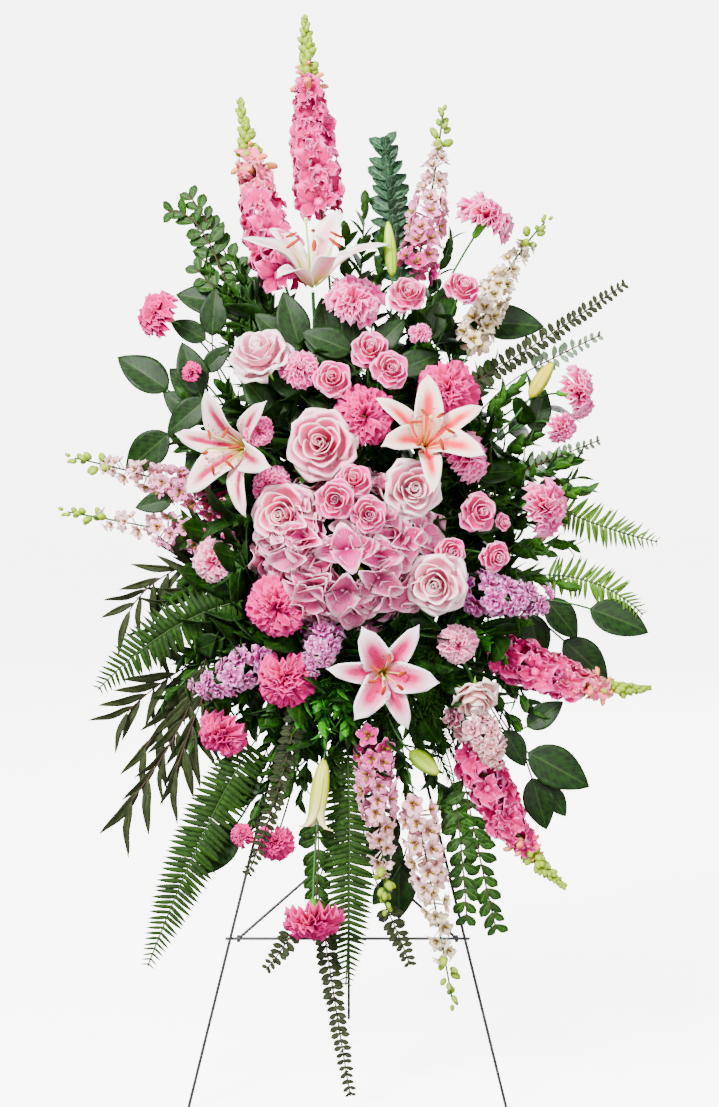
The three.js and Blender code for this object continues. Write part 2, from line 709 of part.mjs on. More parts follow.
// Flowers, by node: where each head's middle is, how far it turns to the right and tilts up, and its radius
const HEADS = {
  roses_left: [
    ["rose", [-34, -55, 885], [-8, 8], 50],
    ["rose", [-84, -45, 792], [-14, 2], 45],
  ],
  roses_right: [
    ["rose", [85, -55, 827], [12, 5], 38],
    ["rose", [113, -50, 703], [-10, -5], 44],
  ],
  spray_roses_centre: [
    ["sprayRose", [-15, -85, 814], [-5, 5], 28],
    ["sprayRose", [28, -85, 795], [5, 5], 26],
    ["sprayRose", [9, -70, 840], [0, 25], 25],
  ],
  spray_roses_top: [
    ["sprayRose", [30, -14, 1006], [0, 25], 27],
    ["sprayRose", [56, -36, 979], [10, 15], 27],
    ["sprayRose", [-19, -25, 967], [-5, 15], 27],
  ],
  spray_roses_right: [
    ["sprayRose", [172, -30, 795], [25, 10], 28],
    ["sprayRose", [203, -15, 781], [40, 10], 13],
    ["sprayRose", [135, -40, 744], [15, 0], 21],
    ["sprayRose", [194, -20, 736], [25, -5], 22],
  ],
  rose_upper_left: [["rose", [-115, 5, 1003], [-15, 35], 42]],
  rose_low: [["rose", [167, 0, 543], [5, -40], 33]],
  carnations_upper: [
    ["carnation", [23, -35, 920], [5, 10], 39],
    ["carnation", [131, -15, 951], [10, 5], 40],
  ],
  carnations_left: [
    ["carnation", [-92, -35, 671], [-10, -5], 40],
    ["carnation", [-81, -15, 573], [-5, -15], 38],
  ],
  carnations_mid_right: [
    ["carnation", [160, 0, 866], [45, 10], 36],
    ["carnation", [266, 40, 796], [60, 0], 40],
  ],
  carnation_top: [["carnation", [8, 20, 1071], [0, 35], 38]],
  carnation_high_right: [["carnation", [188, 90, 1183], [20, 60], 38]],
  carnation_pale_left: [["carnation", [-178, 30, 725], [-20, 0], 29]],
  carnation_pale_right: [["carnation", [144, -15, 620], [10, -5], 26]],
  carnation_low_left: [["carnation", [-169, 30, 492], [-35, -35], 34]],
  carnations_far_left: [
    ["carnation", [-257, 77, 1052], [-60, 20], 32],
    ["carnation", [-207, 60, 975], [-30, 20], 14],
  ],
  carnations_right: [
    ["carnation", [310, 60, 946], [65, 0], 36],
    ["carnation", [285, 50, 898], [40, -20], 22],
  ],
  carnations_low: [
    ["carnation", [-45, -25, 250], [0, -45], 38],
    ["carnation", [-97, 15, 352], [-10, -20], 26],
    ["carnation", [-142, 30, 361], [-40, 0], 17],
  ],
  mini_carnations: [
    ["carnation", [-114, -45, 900], [-10, 10], 20],
    ["carnation", [-101, -10, 830], [-20, 10], 26],
    ["carnation", [-62, -5, 981], [-10, 20], 26],
    ["carnation", [95, 5, 1026], [10, 30], 15],
  ],
  spray_roses_high: [
    ["sprayRose", [79, 20, 1078], [5, 30], 27],
    ["sprayRose", [151, 30, 1086], [15, 35], 26],
  ],
};
const HEAD_SHAPES = {
  rose: { make: rose, half: 0.55, stemEnds: -0.5, stem: STEM_R },
  sprayRose: { make: sprayRose, half: 0.55, stemEnds: -0.55, stem: THIN_STEM_R },
  carnation: { make: carnation, half: 0.4, stemEnds: -0.85, stem: THIN_STEM_R },
};

const LILIES = {
  lily_top: [[-41, 60, 1090], [0, 65], 85, 0.5],
  lily_left: [[-132, -5, 876], [-30, 0], 88, 0.25],
  lily_right: [[100, -15, 878], [10, 25], 84, 0.6],
  lily_low: [[46, -35, 588], [5, 0], 78, 0.1],
};

// Lily buds, by node: the base and tip of each, and its radius
const LILY_BUDS = {
  lily_buds_top: [
    [[59, 60, 1098], [53, 62, 1170], 10],
    [[241, 60, 940], [271, 65, 986], 13],
  ],
  lily_buds_low: [
    [[82, 10, 477], [119, 0, 449], 13],
    [[-31, 10, 466], [-46, -5, 365], 15],
  ],
};

// Spikes, by node: the points that each follows
const SNAPDRAGON = { whorls: 6, to: 0.68, reach: 32, lobes: 3, budWhorls: 2, budReach: 14 };
const LARKSPUR = { whorls: 5, to: 0.74, reach: 25, lobes: 3, budWhorls: 2, budReach: 12 };
const STOCK = { whorls: 4, to: 0.98, reach: 36, lobes: 4, budWhorls: 0, budReach: 0 };
const SPIKES = {
  snapdragon_top: [SNAPDRAGON, [[[-34, 140, 1183], [-48, 165, 1312], [-58, 185, 1447]]]],
  snapdragon_upper_left: [SNAPDRAGON, [[[-83, 100, 1089], [-120, 140, 1210], [-144, 165, 1334]]]],
  snapdragon_right: [SNAPDRAGON, [[[203, 60, 605], [302, 50, 564], [395, 50, 556]]]],
  snapdragon_low_right: [SNAPDRAGON, [[[165, 40, 481], [221, 20, 371], [283, 10, 300]]]],
  larkspur_top: [
    LARKSPUR,
    [
      [[90, 110, 1102], [111, 140, 1203], [128, 160, 1318]],
      [[165, 80, 1009], [210, 110, 1102], [264, 130, 1173]],
    ],
  ],
  larkspur_left: [
    LARKSPUR,
    [
      [[-163, 80, 797], [-250, 90, 830], [-364, 95, 859]],
      [[-150, 80, 744], [-264, 90, 767], [-374, 95, 787]],
    ],
  ],
  larkspur_low: [
    LARKSPUR,
    [
      [[33, 30, 496], [40, 10, 413], [51, 0, 275]],
      [[89, 20, 411], [109, 0, 308], [138, -10, 151]],
    ],
  ],
  stock_left: [
    STOCK,
    [
      [[-118, 45, 598], [-148, 10, 580], [-185, -10, 568]],
      [[-30, 30, 640], [-33, -15, 625], [-38, -45, 605]],
    ],
  ],
  stock_right: [
    STOCK,
    [
      [[160, 30, 690], [200, 0, 682], [250, -5, 678]],
      [[150, 40, 520], [174, 5, 505], [190, -25, 480]],
    ],
  ],
};

const HYDRANGEA = { centre: [1, -5, 741], radii: [112, 66, 94], florets: 18, size: 28 };

// Leafy stems, by node: the points that each follows from where its leaves begin
const round = (reach) => (share) => reach * Math.sin(Math.PI * (0.2 + 0.72 * share));
const tapered = (reach) => (share) => reach * (1 - 0.6 * share);
const FERN = { pairs: 11, length: round(41), sweep: 0.25 };
const PALE_FERN = { pairs: 9, length: round(33), sweep: 0.3 };
const BABY_EUCALYPTUS = { pairs: 5, length: tapered(21), width: 9, sweep: 0.3 };
const WILLOW = { pairs: 4, length: () => 72, width: 11, sweep: 0.8 };
const MYRTLE = { pairs: 4, length: tapered(30), width: 12, sweep: 0.5, shape: "oval" };
const ASPARAGUS = { pairs: 7, length: round(24), sweep: 0.5 };
const LEAFY = {
  fern_left: [FERN, [[[-135, 40, 674], [-236, 60, 632], [-333, 70, 551]]]],
  fern_low_left: [FERN, [[[-123, 50, 485], [-191, 35, 363], [-265, 20, 188]]]],
  fern_low: [FERN, [[[-1, 40, 488], [3, 20, 344], [-2, 10, 165]]]],
  ferns_right: [
    PALE_FERN,
    [
      [[257, 90, 803], [338, 95, 769], [415, 95, 747]],
      [[263, 80, 704], [337, 80, 690], [394, 75, 651]],
    ],
  ],
  eucalyptus_right: [
    BABY_EUCALYPTUS,
    [
      [[163, 90, 956], [271, 120, 1023], [373, 135, 1092]],
      [[245, 130, 976], [293, 135, 1000], [340, 135, 1023]],
      [[202, 70, 831], [270, 90, 857], [337, 100, 883]],
    ],
  ],
  eucalyptus_low: [
    BABY_EUCALYPTUS,
    [
      [[-39, 46, 281], [-16, 10, 139], [4, -12, 22]],
      [[-63, 40, 245], [-85, 30, 212], [-108, 20, 183]],
      [[50, 20, 271], [68, 15, 230], [83, 10, 192]],
      [[-62, 10, 546], [-95, 0, 415], [-132, 10, 313]],
    ],
  ],
  willow_left: [
    WILLOW,
    [
      [[-177, 122, 723], [-251, 128, 696], [-310, 128, 680]],
      [[-157, 108, 660], [-244, 103, 536], [-300, 98, 490]],
      [[-150, 88, 608], [-231, 78, 456], [-300, 68, 360]],
    ],
  ],
  myrtle_top: [MYRTLE, [[[70, 130, 1083], [57, 150, 1204], [50, 155, 1277]]]],
  myrtle_left: [MYRTLE, [[[-131, 130, 1070], [-178, 140, 1157], [-213, 145, 1210]]]],
  myrtle_low: [
    MYRTLE,
    [
      [[143, 40, 421], [162, 20, 318], [196, 10, 229]],
      [[-39, 52, 383], [-39, 44, 318], [-42, 36, 268]],
    ],
  ],
  asparagus_low: [
    ASPARAGUS,
    [
      [[92, 45, 590], [104, 34, 552], [118, 26, 505]],
      [[112, 50, 580], [134, 38, 545], [152, 30, 500]],
    ],
  ],
};

// Broad leaves on short twigs, by node: the points that each twig follows
const BROAD_LEAF = [
  [0, 0.012, 0, 0],
  [0.45, 0.3, 0.03, 0.03],
  [1, 0, -0.05, 0],
];
const BROAD = {
  salal_left: [
    [[-150, 100, 930], [-215, 112, 950], [-262, 120, 966]],
    [[-150, 95, 905], [-205, 100, 905], [-245, 105, 893]],
  ],
  salal_top: [
    [[-64, 120, 1029], [-120, 120, 1050], [-150, 120, 1060]],
    [[60, 130, 1020], [130, 130, 1036], [180, 125, 1040]],
  ],
  salal_right: [
    [[210, 70, 680], [284, 80, 668], [325, 80, 658]],
    [[215, 104, 672], [258, 106, 640], [292, 106, 612]],
  ],
  salal_low: [
    [[-95, 60, 470], [-125, 60, 410], [-150, 58, 370]],
    [[60, 45, 420], [66, 42, 370], [68, 38, 330]],
  ],
};
const BROAD_LENGTH = 78;

function facingOf([turn, tilt]) {
  const [a, b] = [turn, tilt].map(THREE.MathUtils.degToRad);
  return vec(Math.sin(a) * Math.cos(b), -Math.cos(a) * Math.cos(b), Math.sin(b));
}

// Every flower head takes its place before any stem looks for a way to it
const flowers = Object.entries(HEADS).map(([name, list]) => ({
  name,
  spots: list.map(([kind, at, turn, radius]) => {
    const shape = HEAD_SHAPES[kind];
    const spot = { kind, centre: point(at), facing: facingOf(turn), radius };
    const head = { centre: spot.centre, facing: spot.facing, radius, half: shape.half * radius };
    heads.push(head);
    return { ...spot, shape, head };
  }),
}));

// The wires that stems keep clear of
for (const sign of [-1, 1]) runs.push({ points: [onPlane(sign * legHalf(0), 0), onPlane(0, APEX_Z)], radius: WIRE_R });

// A tree of stems to several targets: the first from the foam, the others from it
function stemTree(targets, radius) {
  const own = [];
  const mains = [];
  targets.forEach(({ at, arrive, head }, i) => {
    const choices = () => (i ? sideChoices(mains, at, arrive) : mainChoices(at, arrive));
    mains.push(bestPath(choices, radius, own, head));
  });
  return mains;
}

const items = []; // { name, material, make(grow) } in the order in which they take their room
const put = (name, material, make) => items.push({ name, material, make });

for (const { name, spots } of flowers) {
  const radius = spots[0].shape.stem;
  const targets = spots.map(({ centre, facing, radius: size, shape, head }) => ({
    at: centre.clone().addScaledVector(facing, shape.stemEnds * size),
    arrive: facing,
    head,
  }));
  const mains = stemTree(targets, radius);
  put(name, name.startsWith("rose") ? "palePink" : "pink", (grow) =>
    joined([
      ...spots.map(({ shape, centre, facing, radius: size }) => shape.make({ centre, facing, radius: size, grow })),
      ...mains.map((points) => stem(points, grow, radius)),
    ]),
  );
}

const curveThrough = (list) => new THREE.CatmullRomCurve3(list.map(point));

// Stems that reach curves and go on along each to the given shares of its length
function curvedStems(list, radius, shares) {
  const curves = list.map(curveThrough);
  const targets = curves.map((curve) => ({ at: curve.getPoint(0), arrive: curve.getTangent(0) }));
  const mains = stemTree(targets, radius);
  curves.forEach((curve) => runs.push({ points: curve.getPoints(5), radius }));
  return { curves, stems: mains.map((points, i) => [...points, ...shares.map((t) => curves[i].getPoint(t))]) };
}

const SPIKE_COLOURS = { snapdragon: "hotPink", larkspur: "blush", stock: "lilac" };
for (const [name, [shape, list]] of Object.entries(SPIKES)) {
  const { curves, stems } = curvedStems(list, STEM_R, [0.08]);
  put(name, SPIKE_COLOURS[name.split("_")[0]], (grow) =>
    joined([...stems.map((points) => stem(points, grow)), ...curves.map((path) => spike({ path, ...shape, grow }))]),
  );
}

for (const [name, list] of Object.entries(LILY_BUDS)) {
  const buds = list.map(([from, to, radius]) => ({ from: point(from), to: point(to), radius }));
  const targets = buds.map(({ from, to }) => ({
    at: from.clone().lerp(to, 0.08),
    arrive: to.clone().sub(from).normalize(),
  }));
  const mains = stemTree(targets, THIN_STEM_R);
  put(name, "budGreen", (grow) =>
    joined([...buds.map((bud) => lilyBud({ ...bud, grow })), ...mains.map((p) => stem(p, grow, THIN_STEM_R))]),
  );
}

for (const [name, [at, turn, radius, twist]] of Object.entries(LILIES)) {
  const spot = { centre: point(at), facing: facingOf(turn), radius, turn: twist };
  const target = { at: spot.centre.clone().addScaledVector(spot.facing, -0.1 * radius), arrive: spot.facing };
  const mains = stemTree([target], STEM_R);
  put(name, "lilyPink", (grow) => joined([lily({ ...spot, grow }), ...mains.map((points) => stem(points, grow))]));
}

{
  const centre = point(HYDRANGEA.centre);
  const target = { at: centre.clone(), arrive: VIEWER };
  const mains = stemTree([target], STEM_R);
  put("hydrangea", "mauve", (grow) =>
    joined([
      hydrangea({ ...HYDRANGEA, centre, radii: point(HYDRANGEA.radii), grow }),
      ...mains.map((points) => stem(points, grow)),
    ]),
  );
}

for (const [name, list] of Object.entries(BROAD)) {
  const { curves, stems } = curvedStems(list, THIN_STEM_R, [0.5, 0.99]);
  put(name, "leafGloss", (grow) =>
    joined([
      ...stems.map((points) => stem(points, grow, THIN_STEM_R)),
      ...curves.flatMap((path, i) =>
        [[0.35, 0.8], [0.97, 0]].map(([t, swing]) => {
          const along = path.getTangent(t).normalize();
          const [side] = across(along, VIEWER);
          return blade({
            base: path.getPoint(t).addScaledVector(along, -2),
            along: along.clone().addScaledVector(side, swing),
            face: VIEWER.clone().addScaledVector(UP, i ? 0.25 : 0.4),
            length: BROAD_LENGTH * (swing ? 0.85 : 1),
            outline: BROAD_LEAF,
            grow,
          });
        }),
      ),
    ]),
  );
}

const LEAF_COLOURS = { fern: "leafDark", ferns: "leafLight", eucalyptus: "leafGrey", asparagus: "leafLight" };
for (const [name, [shape, list]] of Object.entries(LEAFY)) {
  const { curves, stems } = curvedStems(list, THIN_STEM_R, [0.05]);
  put(name, LEAF_COLOURS[name.split("_")[0]] ?? "leafDark", (grow) =>
    joined([
      ...stems.map((points) => stem(points, grow, THIN_STEM_R)),
      ...curves.map((path) => comb({ path, from: 0.01, to: 0.99, face: VIEWER, ...shape, grow })),
    ]),
  );
}

// Colours and finishes
const LOOKS = {
  wire: [0x24352b, 0.45, 0.6],
  plastic: [0x2f5d3a, 0.5, 0],
  foam: [0x3c6b3f, 0.95, 0],
  palePink: [0xf3b6bd, 0.7, 0],
  pink: [0xe86a9a, 0.75, 0],
  hotPink: [0xe0447f, 0.7, 0],
  blush: [0xf4cfd0, 0.7, 0],
  lilac: [0xd79fcb, 0.75, 0],
  mauve: [0xdba0bf, 0.7, 0],
  lilyPink: [0xf3c3cb, 0.5, 0],
  budGreen: [0xb9c96a, 0.5, 0],
  leafDark: [0x1f4a2b, 0.5, 0],
  leafGloss: [0x24552c, 0.35, 0],
  leafLight: [0x5f9a4a, 0.55, 0],
  leafGrey: [0x46594f, 0.6, 0],
};
const materials = Object.fromEntries(
  Object.entries(LOOKS).map(([name, [color, roughness, metalness]]) => [
    name,
    new THREE.MeshStandardMaterial({ name, color, roughness, metalness }),
  ]),
);

// The largest connected body of a solid, without the scraps that a cut leaves
const wholeBody = (solid) => solid.decompose().sort((one, two) => two.volume() - one.volume())[0];

const apart = (one, two) => {
  const [a, b] = [one.boundingBox(), two.boundingBox()];
  return [0, 1, 2].some((i) => a.max[i] < b.min[i] || b.max[i] < a.min[i]);
};

const easel = [
  ["front_leg_left", "wire", (grow) => frontLeg(-1, grow)],
  ["front_leg_right", "wire", (grow) => frontLeg(1, grow)],
  ["crossbar", "wire", (grow) =>
    wireAlongX(onPlane(0, CROSSBAR_Z, crossbarOut), legHalf(CROSSBAR_Z) + CROSSBAR_PAST_LEG, grow)],
  ["hinge_pin", "wire", (grow) => wireAlongX(pin, legHalf(PIN_Z), grow)],
  ["rear_leg", "wire", rearLeg],
  ["stay_left", "wire", (grow) => stay(-1, grow)],
  ["stay_right", "wire", (grow) => stay(1, grow)],
].map(([name, material, make]) => ({ name, material, make }));
const holderItems = [
  { name: "foam_holder", material: "plastic", make: holder },
  { name: "foam_block", material: "foam", make: foam },
];

// Each piece gives way to the room of those placed before it
const spray = new THREE.Group();
const rooms = [];
for (const { name, material, make } of [...easel, ...items, ...holderItems]) {
  const isEasel = material === "wire";
  let solid = make(0);
  for (const room of rooms) {
    if (isEasel && name !== "hinge_pin") break;
    if (!apart(solid, room)) solid = solid.subtract(room);
  }
  solid = wholeBody(solid);
  rooms.push(make(isEasel ? SEAT_GAP : CLEAR));
  const mesh = new THREE.Mesh(geometryOf(solid), materials[material]);
  mesh.name = name;
  spray.add(mesh);
}

// The origin lies under the middle of the whole spray
const bounds = new THREE.Box3().setFromObject(spray);
const middle = bounds.getCenter(vec(0, 0, 0));
spray.position.set(-middle.x, -middle.y, 0);

export default spray;
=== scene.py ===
# %% [markdown]
# A standing funeral spray: blooms and foliage stand in a block of floral foam, on a folding wire easel.
# The packed model gives the frame: every piece made here sits where its CAD node sits, in metres, and the
# camera and the places of the flowers come from the same few measured values.

# %% Load the packed frame
import json
import math

import bpy
import numpy as np
from mathutils import Matrix, Vector


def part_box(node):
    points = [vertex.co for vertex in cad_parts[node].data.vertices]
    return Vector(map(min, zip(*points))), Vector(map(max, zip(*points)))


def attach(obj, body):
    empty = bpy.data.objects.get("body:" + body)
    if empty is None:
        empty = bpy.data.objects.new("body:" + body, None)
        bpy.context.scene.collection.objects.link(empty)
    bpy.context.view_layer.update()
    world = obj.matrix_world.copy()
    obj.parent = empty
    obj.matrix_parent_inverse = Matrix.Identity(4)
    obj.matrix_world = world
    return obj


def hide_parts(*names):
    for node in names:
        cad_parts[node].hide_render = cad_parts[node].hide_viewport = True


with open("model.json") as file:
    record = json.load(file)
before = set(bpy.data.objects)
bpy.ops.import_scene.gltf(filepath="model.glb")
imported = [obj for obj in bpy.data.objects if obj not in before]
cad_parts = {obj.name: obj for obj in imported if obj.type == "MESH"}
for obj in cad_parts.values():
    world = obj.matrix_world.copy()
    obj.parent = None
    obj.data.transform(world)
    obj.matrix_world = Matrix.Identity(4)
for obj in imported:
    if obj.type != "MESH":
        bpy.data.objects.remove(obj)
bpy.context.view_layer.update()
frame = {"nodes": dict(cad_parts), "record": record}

ROOT = "easel_and_flowers"

# %% [markdown]
# Places on the spray were measured in millimetres from the middle of the front feet, with the viewer on the
# -Y side. The packed frame has its origin under the middle of the whole spray, so one shift joins the two.
# The crossbar gives it, because its place behind the front feet is known.

# %% Measured places in the frame
MM = 0.001
CROSSBAR_BEHIND_FEET = 54.97
crossbar_low, crossbar_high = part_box("crossbar")
crossbar_middle = (crossbar_low + crossbar_high) / 2
SHIFT = Vector((crossbar_middle.x, crossbar_middle.y - CROSSBAR_BEHIND_FEET * MM, 0))


def place(x, y, z):
    """A measured place, in millimetres, as a point of the frame in metres."""
    return Vector((x, y, z)) * MM + SHIFT


print("front feet stand at", [round(v, 4) for v in place(0, 0, 0)])

# %% [markdown]
# The photograph is taken from a little above the middle of the spray, looking slightly down, with a long
# lens. A camera is set up by where it stands, what it looks at and its focal length. The focal length is
# counted here in the picture's own pixels, so the picture's height turns it into millimetres.

# %% Camera
CAMERA_AT = place(16, -3200, 1000)
CAMERA_LOOKS_AT = place(16, 0, 739)
PICTURE_HEIGHT = 1107
FOCAL_PIXELS = 2469.7
SENSOR = 36.0

camera = bpy.data.objects.new("camera", bpy.data.cameras.new("camera"))
bpy.context.collection.objects.link(camera)
camera.location = CAMERA_AT
camera.rotation_euler = (CAMERA_LOOKS_AT - CAMERA_AT).to_track_quat("-Z", "Y").to_euler()
camera.data.sensor_fit = "VERTICAL"
camera.data.sensor_height = SENSOR
camera.data.lens = FOCAL_PIXELS / PICTURE_HEIGHT * SENSOR
bpy.context.scene.camera = camera
print("lens", round(camera.data.lens, 1), "mm")

# %% [markdown]
# Shader and geometry trees are both built from nodes and links, and both read best as arithmetic. The class
# below wraps an output socket, so that 1 - mask or width * 0.5 adds the Math node by itself. Every other
# node comes from one method, which sets the node's settings first and then its sockets.


# %% Nodes written as expressions
class Value:
    """An output socket; arithmetic on it adds Math nodes to its tree."""

    def __init__(self, nodes, socket):
        self.nodes = nodes
        self.socket = socket

    def __add__(self, other):
        return self.nodes.math("ADD", self, other)

    def __sub__(self, other):
        return self.nodes.math("SUBTRACT", self, other)

    def __rsub__(self, other):
        return self.nodes.math("SUBTRACT", other, self)

    def __mul__(self, other):
        return self.nodes.math("MULTIPLY", self, other)

    def __truediv__(self, other):
        return self.nodes.math("DIVIDE", self, other)

    def __pow__(self, other):
        return self.nodes.math("POWER", self, other)

    def __abs__(self):
        return self.nodes.math("ABSOLUTE", self)

    __radd__ = __add__
    __rmul__ = __mul__


class Nodes:
    """A tree of shader or geometry nodes."""

    def __init__(self, tree):
        self.tree = tree

    def add(self, kind, settings=None, sockets=None, output=0):
        node = self.tree.nodes.new(kind)
        for name, value in (settings or {}).items():
            setattr(node, name, value)
        for name, value in (sockets or {}).items():
            self.feed(node.inputs[name], value)
        return Value(self, node.outputs[output])

    def feed(self, socket, value):
        if isinstance(value, Value):
            self.tree.links.new(value.socket, socket)
        else:
            socket.default_value = value

    def math(self, operation, *values):
        return self.add("ShaderNodeMath", {"operation": operation}, dict(enumerate(values)))

    def vector(self, x, y, z):
        return self.add("ShaderNodeCombineXYZ", {}, {0: x, 1: y, 2: z})

    def mix(self, factor, first, second):
        return self.add("ShaderNodeMix", {"data_type": "RGBA"}, {0: factor, 6: first, 7: second}, output=2)

    def smooth(self, value, low, high):
        """0 below low, 1 above high and a soft step between them."""
        sockets = {0: value, 1: low, 2: high, 3: 0.0, 4: 1.0}
        return self.add("ShaderNodeMapRange", {"interpolation_type": "SMOOTHSTEP"}, sockets)

    def noise(self, vector, scale, detail=2.0):
        return self.add("ShaderNodeTexNoise", {}, {"Vector": vector, "Scale": scale, "Detail": detail})


print("a tree's nodes come from", [name for name in vars(Nodes) if name[0] != "_"])

# %% [markdown]
# Colours are written as they should look, in the six digits that any paint program shows. The picture's film
# curve fades strong colours, so each is deepened here by a power that leaves its strongest channel alone.

# %% Colours as they should look
FILM_DEPTH = 1.5


def ink(code):
    """A colour such as f4b8c4 as a base colour."""
    parts = [int(code[i : i + 2], 16) / 255 for i in (0, 2, 4)]
    linear = [((p + 0.055) / 1.055) ** 2.4 if p > 0.04045 else p / 12.92 for p in parts]
    most = max(max(linear), 0.001)
    return (*[most * (value / most) ** FILM_DEPTH for value in linear], 1.0)


print("a pale pink is", [round(v, 3) for v in ink("f4b8c4")])

# %% [markdown]
# A petal is a thin sheet that is bent, cupped or frilled. The simplest way to model one is a formula: it
# takes how far across and how far along the petal a point lies, and gives where that point is. The sheet
# gets a top, an underside and a rim, so that it is a closed body, and the same two numbers become its UV
# map, which the materials use for veins, rims and spots. A petal stands on its base and grows up +Z, with
# its inner face towards -Y.

# %% Thin sheets and turned bodies


def sheet(shape, columns, rows, thickness=0.012):
    """A closed thin part: its corners, its faces and its UVs, from shape(across, along)."""
    across = np.linspace(-1, 1, columns + 1)
    along = np.linspace(0, 1, rows + 1)
    grid = np.array([[shape(u, v) for u in across] for v in along], float)
    normal = np.cross(np.gradient(grid, axis=1), np.gradient(grid, axis=0))
    normal /= np.maximum(np.linalg.norm(normal, axis=2, keepdims=True), 1e-9)
    top, under = grid + normal * thickness / 2, grid - normal * thickness / 2
    corners = np.concatenate([top.reshape(-1, 3), under.reshape(-1, 3)])
    uvs = np.tile([((u + 1) / 2, v) for v in along for u in across], (2, 1))
    wide, half = columns + 1, (columns + 1) * (rows + 1)
    faces = []
    for r in range(rows):
        for c in range(columns):
            a = r * wide + c
            quad = [a, a + 1, a + wide + 1, a + wide]
            faces.append(quad)
            faces.append([half + i for i in reversed(quad)])
    border = list(range(columns))
    border += [r * wide + columns for r in range(rows)]
    border += [rows * wide + c for c in range(columns, 0, -1)]
    border += [r * wide for r in range(rows, 0, -1)]
    for a, b in zip(border, border[1:] + border[:1]):
        faces.append([b, a, half + a, half + b])
    return corners, faces, uvs


def turned(profile, sides):
    """A closed body round +Z from [radius, height] pairs, which start and end on the axis."""
    inner = profile[1:-1]
    corners = [(0, 0, profile[0][1])]
    uvs = [(0.5, 0)]
    for k, (radius, height) in enumerate(inner):
        for j in range(sides):
            angle = 2 * math.pi * j / sides
            corners.append((radius * math.cos(angle), radius * math.sin(angle), height))
            uvs.append((j / sides, (k + 1) / (len(profile) - 1)))
    corners.append((0, 0, profile[-1][1]))
    uvs.append((0.5, 1))
    faces = [[0, 1 + (j + 1) % sides, 1 + j] for j in range(sides)]
    for k in range(len(inner) - 1):
        for j in range(sides):
            a, b = 1 + k * sides + j, 1 + k * sides + (j + 1) % sides
            faces.append([a, b, b + sides, a + sides])
    last, start = len(corners) - 1, 1 + (len(inner) - 1) * sides
    faces += [[last, start + j, start + (j + 1) % sides] for j in range(sides)]
    return np.array(corners, float), faces, np.array(uvs, float)


def moved(part, matrix):
    corners, faces, uvs = part
    spun = np.array(matrix.to_3x3())
    return corners @ spun.T + np.array(matrix.translation), faces, uvs


def opened(part, open_angle, spin, radius=0.0, height=0.0, size=1.0):
    """A part tilted away from the axis, pushed out from it, then spun about it."""
    out = Matrix.Translation((0, radius, height)) @ Matrix.Rotation(-open_angle, 4, "X")
    return moved(part, Matrix.Rotation(spin, 4, "Z") @ (out @ Matrix.Scale(size, 4)))


templates = []


def template(name, *parts):
    """An object of one or more parts that the trees place many times; it is removed at the end."""
    corners = np.concatenate([part[0] for part in parts])
    faces, uvs, start = [], [], 0
    for part_corners, part_faces, part_uvs in parts:
        faces += [[start + i for i in face] for face in part_faces]
        uvs += [part_uvs[i] for face in part_faces for i in face]
        start += len(part_corners)
    mesh = bpy.data.meshes.new(name)
    mesh.from_pydata(corners.tolist(), [], faces)
    mesh.uv_layers.new(name="petal").data.foreach_set("uv", np.array(uvs, np.float32).ravel())
    mesh.shade_smooth()
    mesh.validate()
    thing = bpy.data.objects.new(name, mesh)
    bpy.context.collection.objects.link(thing)
    thing.hide_render = True
    templates.append(thing)
    return thing


print("a flat sheet of 2 by 3 has", len(sheet(lambda u, v: (u, 0, v), 2, 3)[1]), "faces with its rim")

# %% [markdown]
# Petals and leaves grow by simple rules: round a heart by the golden angle, or in rings along a stem. Those
# rules are what Geometry Nodes are good at. Each tree below is built once, and its modifier gets its sizes
# through named inputs. The result is turned into a plain mesh, because the export drops instances.

# %% Trees of geometry nodes
GOLDEN = math.pi * (3 - math.sqrt(5))


def new_tree(name, inputs):
    """A tree with named inputs, and its input sockets as values."""
    tree = bpy.data.node_groups.new(name, "GeometryNodeTree")
    tree.interface.new_socket("Geometry", in_out="INPUT", socket_type="NodeSocketGeometry")
    tree.interface.new_socket("Geometry", in_out="OUTPUT", socket_type="NodeSocketGeometry")
    for label, kind in inputs.items():
        tree.interface.new_socket(label, in_out="INPUT", socket_type="NodeSocket" + kind)
    nodes = Nodes(tree)
    entry = tree.nodes.new("NodeGroupInput")
    return nodes, {socket.name: Value(nodes, socket) for socket in entry.outputs if socket.name}


def close_tree(nodes, geometry, finish):
    plain = nodes.add("GeometryNodeRealizeInstances", {}, {"Geometry": geometry})
    painted = nodes.add("GeometryNodeSetMaterial", {}, {"Geometry": plain, "Material": finish})
    nodes.feed(nodes.tree.nodes.new("NodeGroupOutput").inputs[0], painted)
    return nodes.tree


def shape_of(nodes, thing):
    return nodes.add("GeometryNodeObjectInfo", {}, {"Object": thing}, output=4)


def chance(nodes, seed, salt):
    """A random number from -0.5 to 0.5 for each point."""
    sockets = {2: -0.5, 3: 0.5, "Seed": seed + salt}
    return nodes.add("FunctionNodeRandomValue", {"data_type": "FLOAT"}, sockets, output=1)


def kept_on(nodes, points, values):
    """Stores numbers on points, for the materials to read."""
    for name, value in values.items():
        points = nodes.add(
            "GeometryNodeStoreNamedAttribute",
            {"data_type": "FLOAT", "domain": "POINT"},
            {"Geometry": points, "Name": name, "Value": value},
        )
    return points


# How much of a petal's or a leaf's wobble goes into its width, its length and its twist
SWELL, STRETCH, TWIST = 0.5, 0.3, 0.6


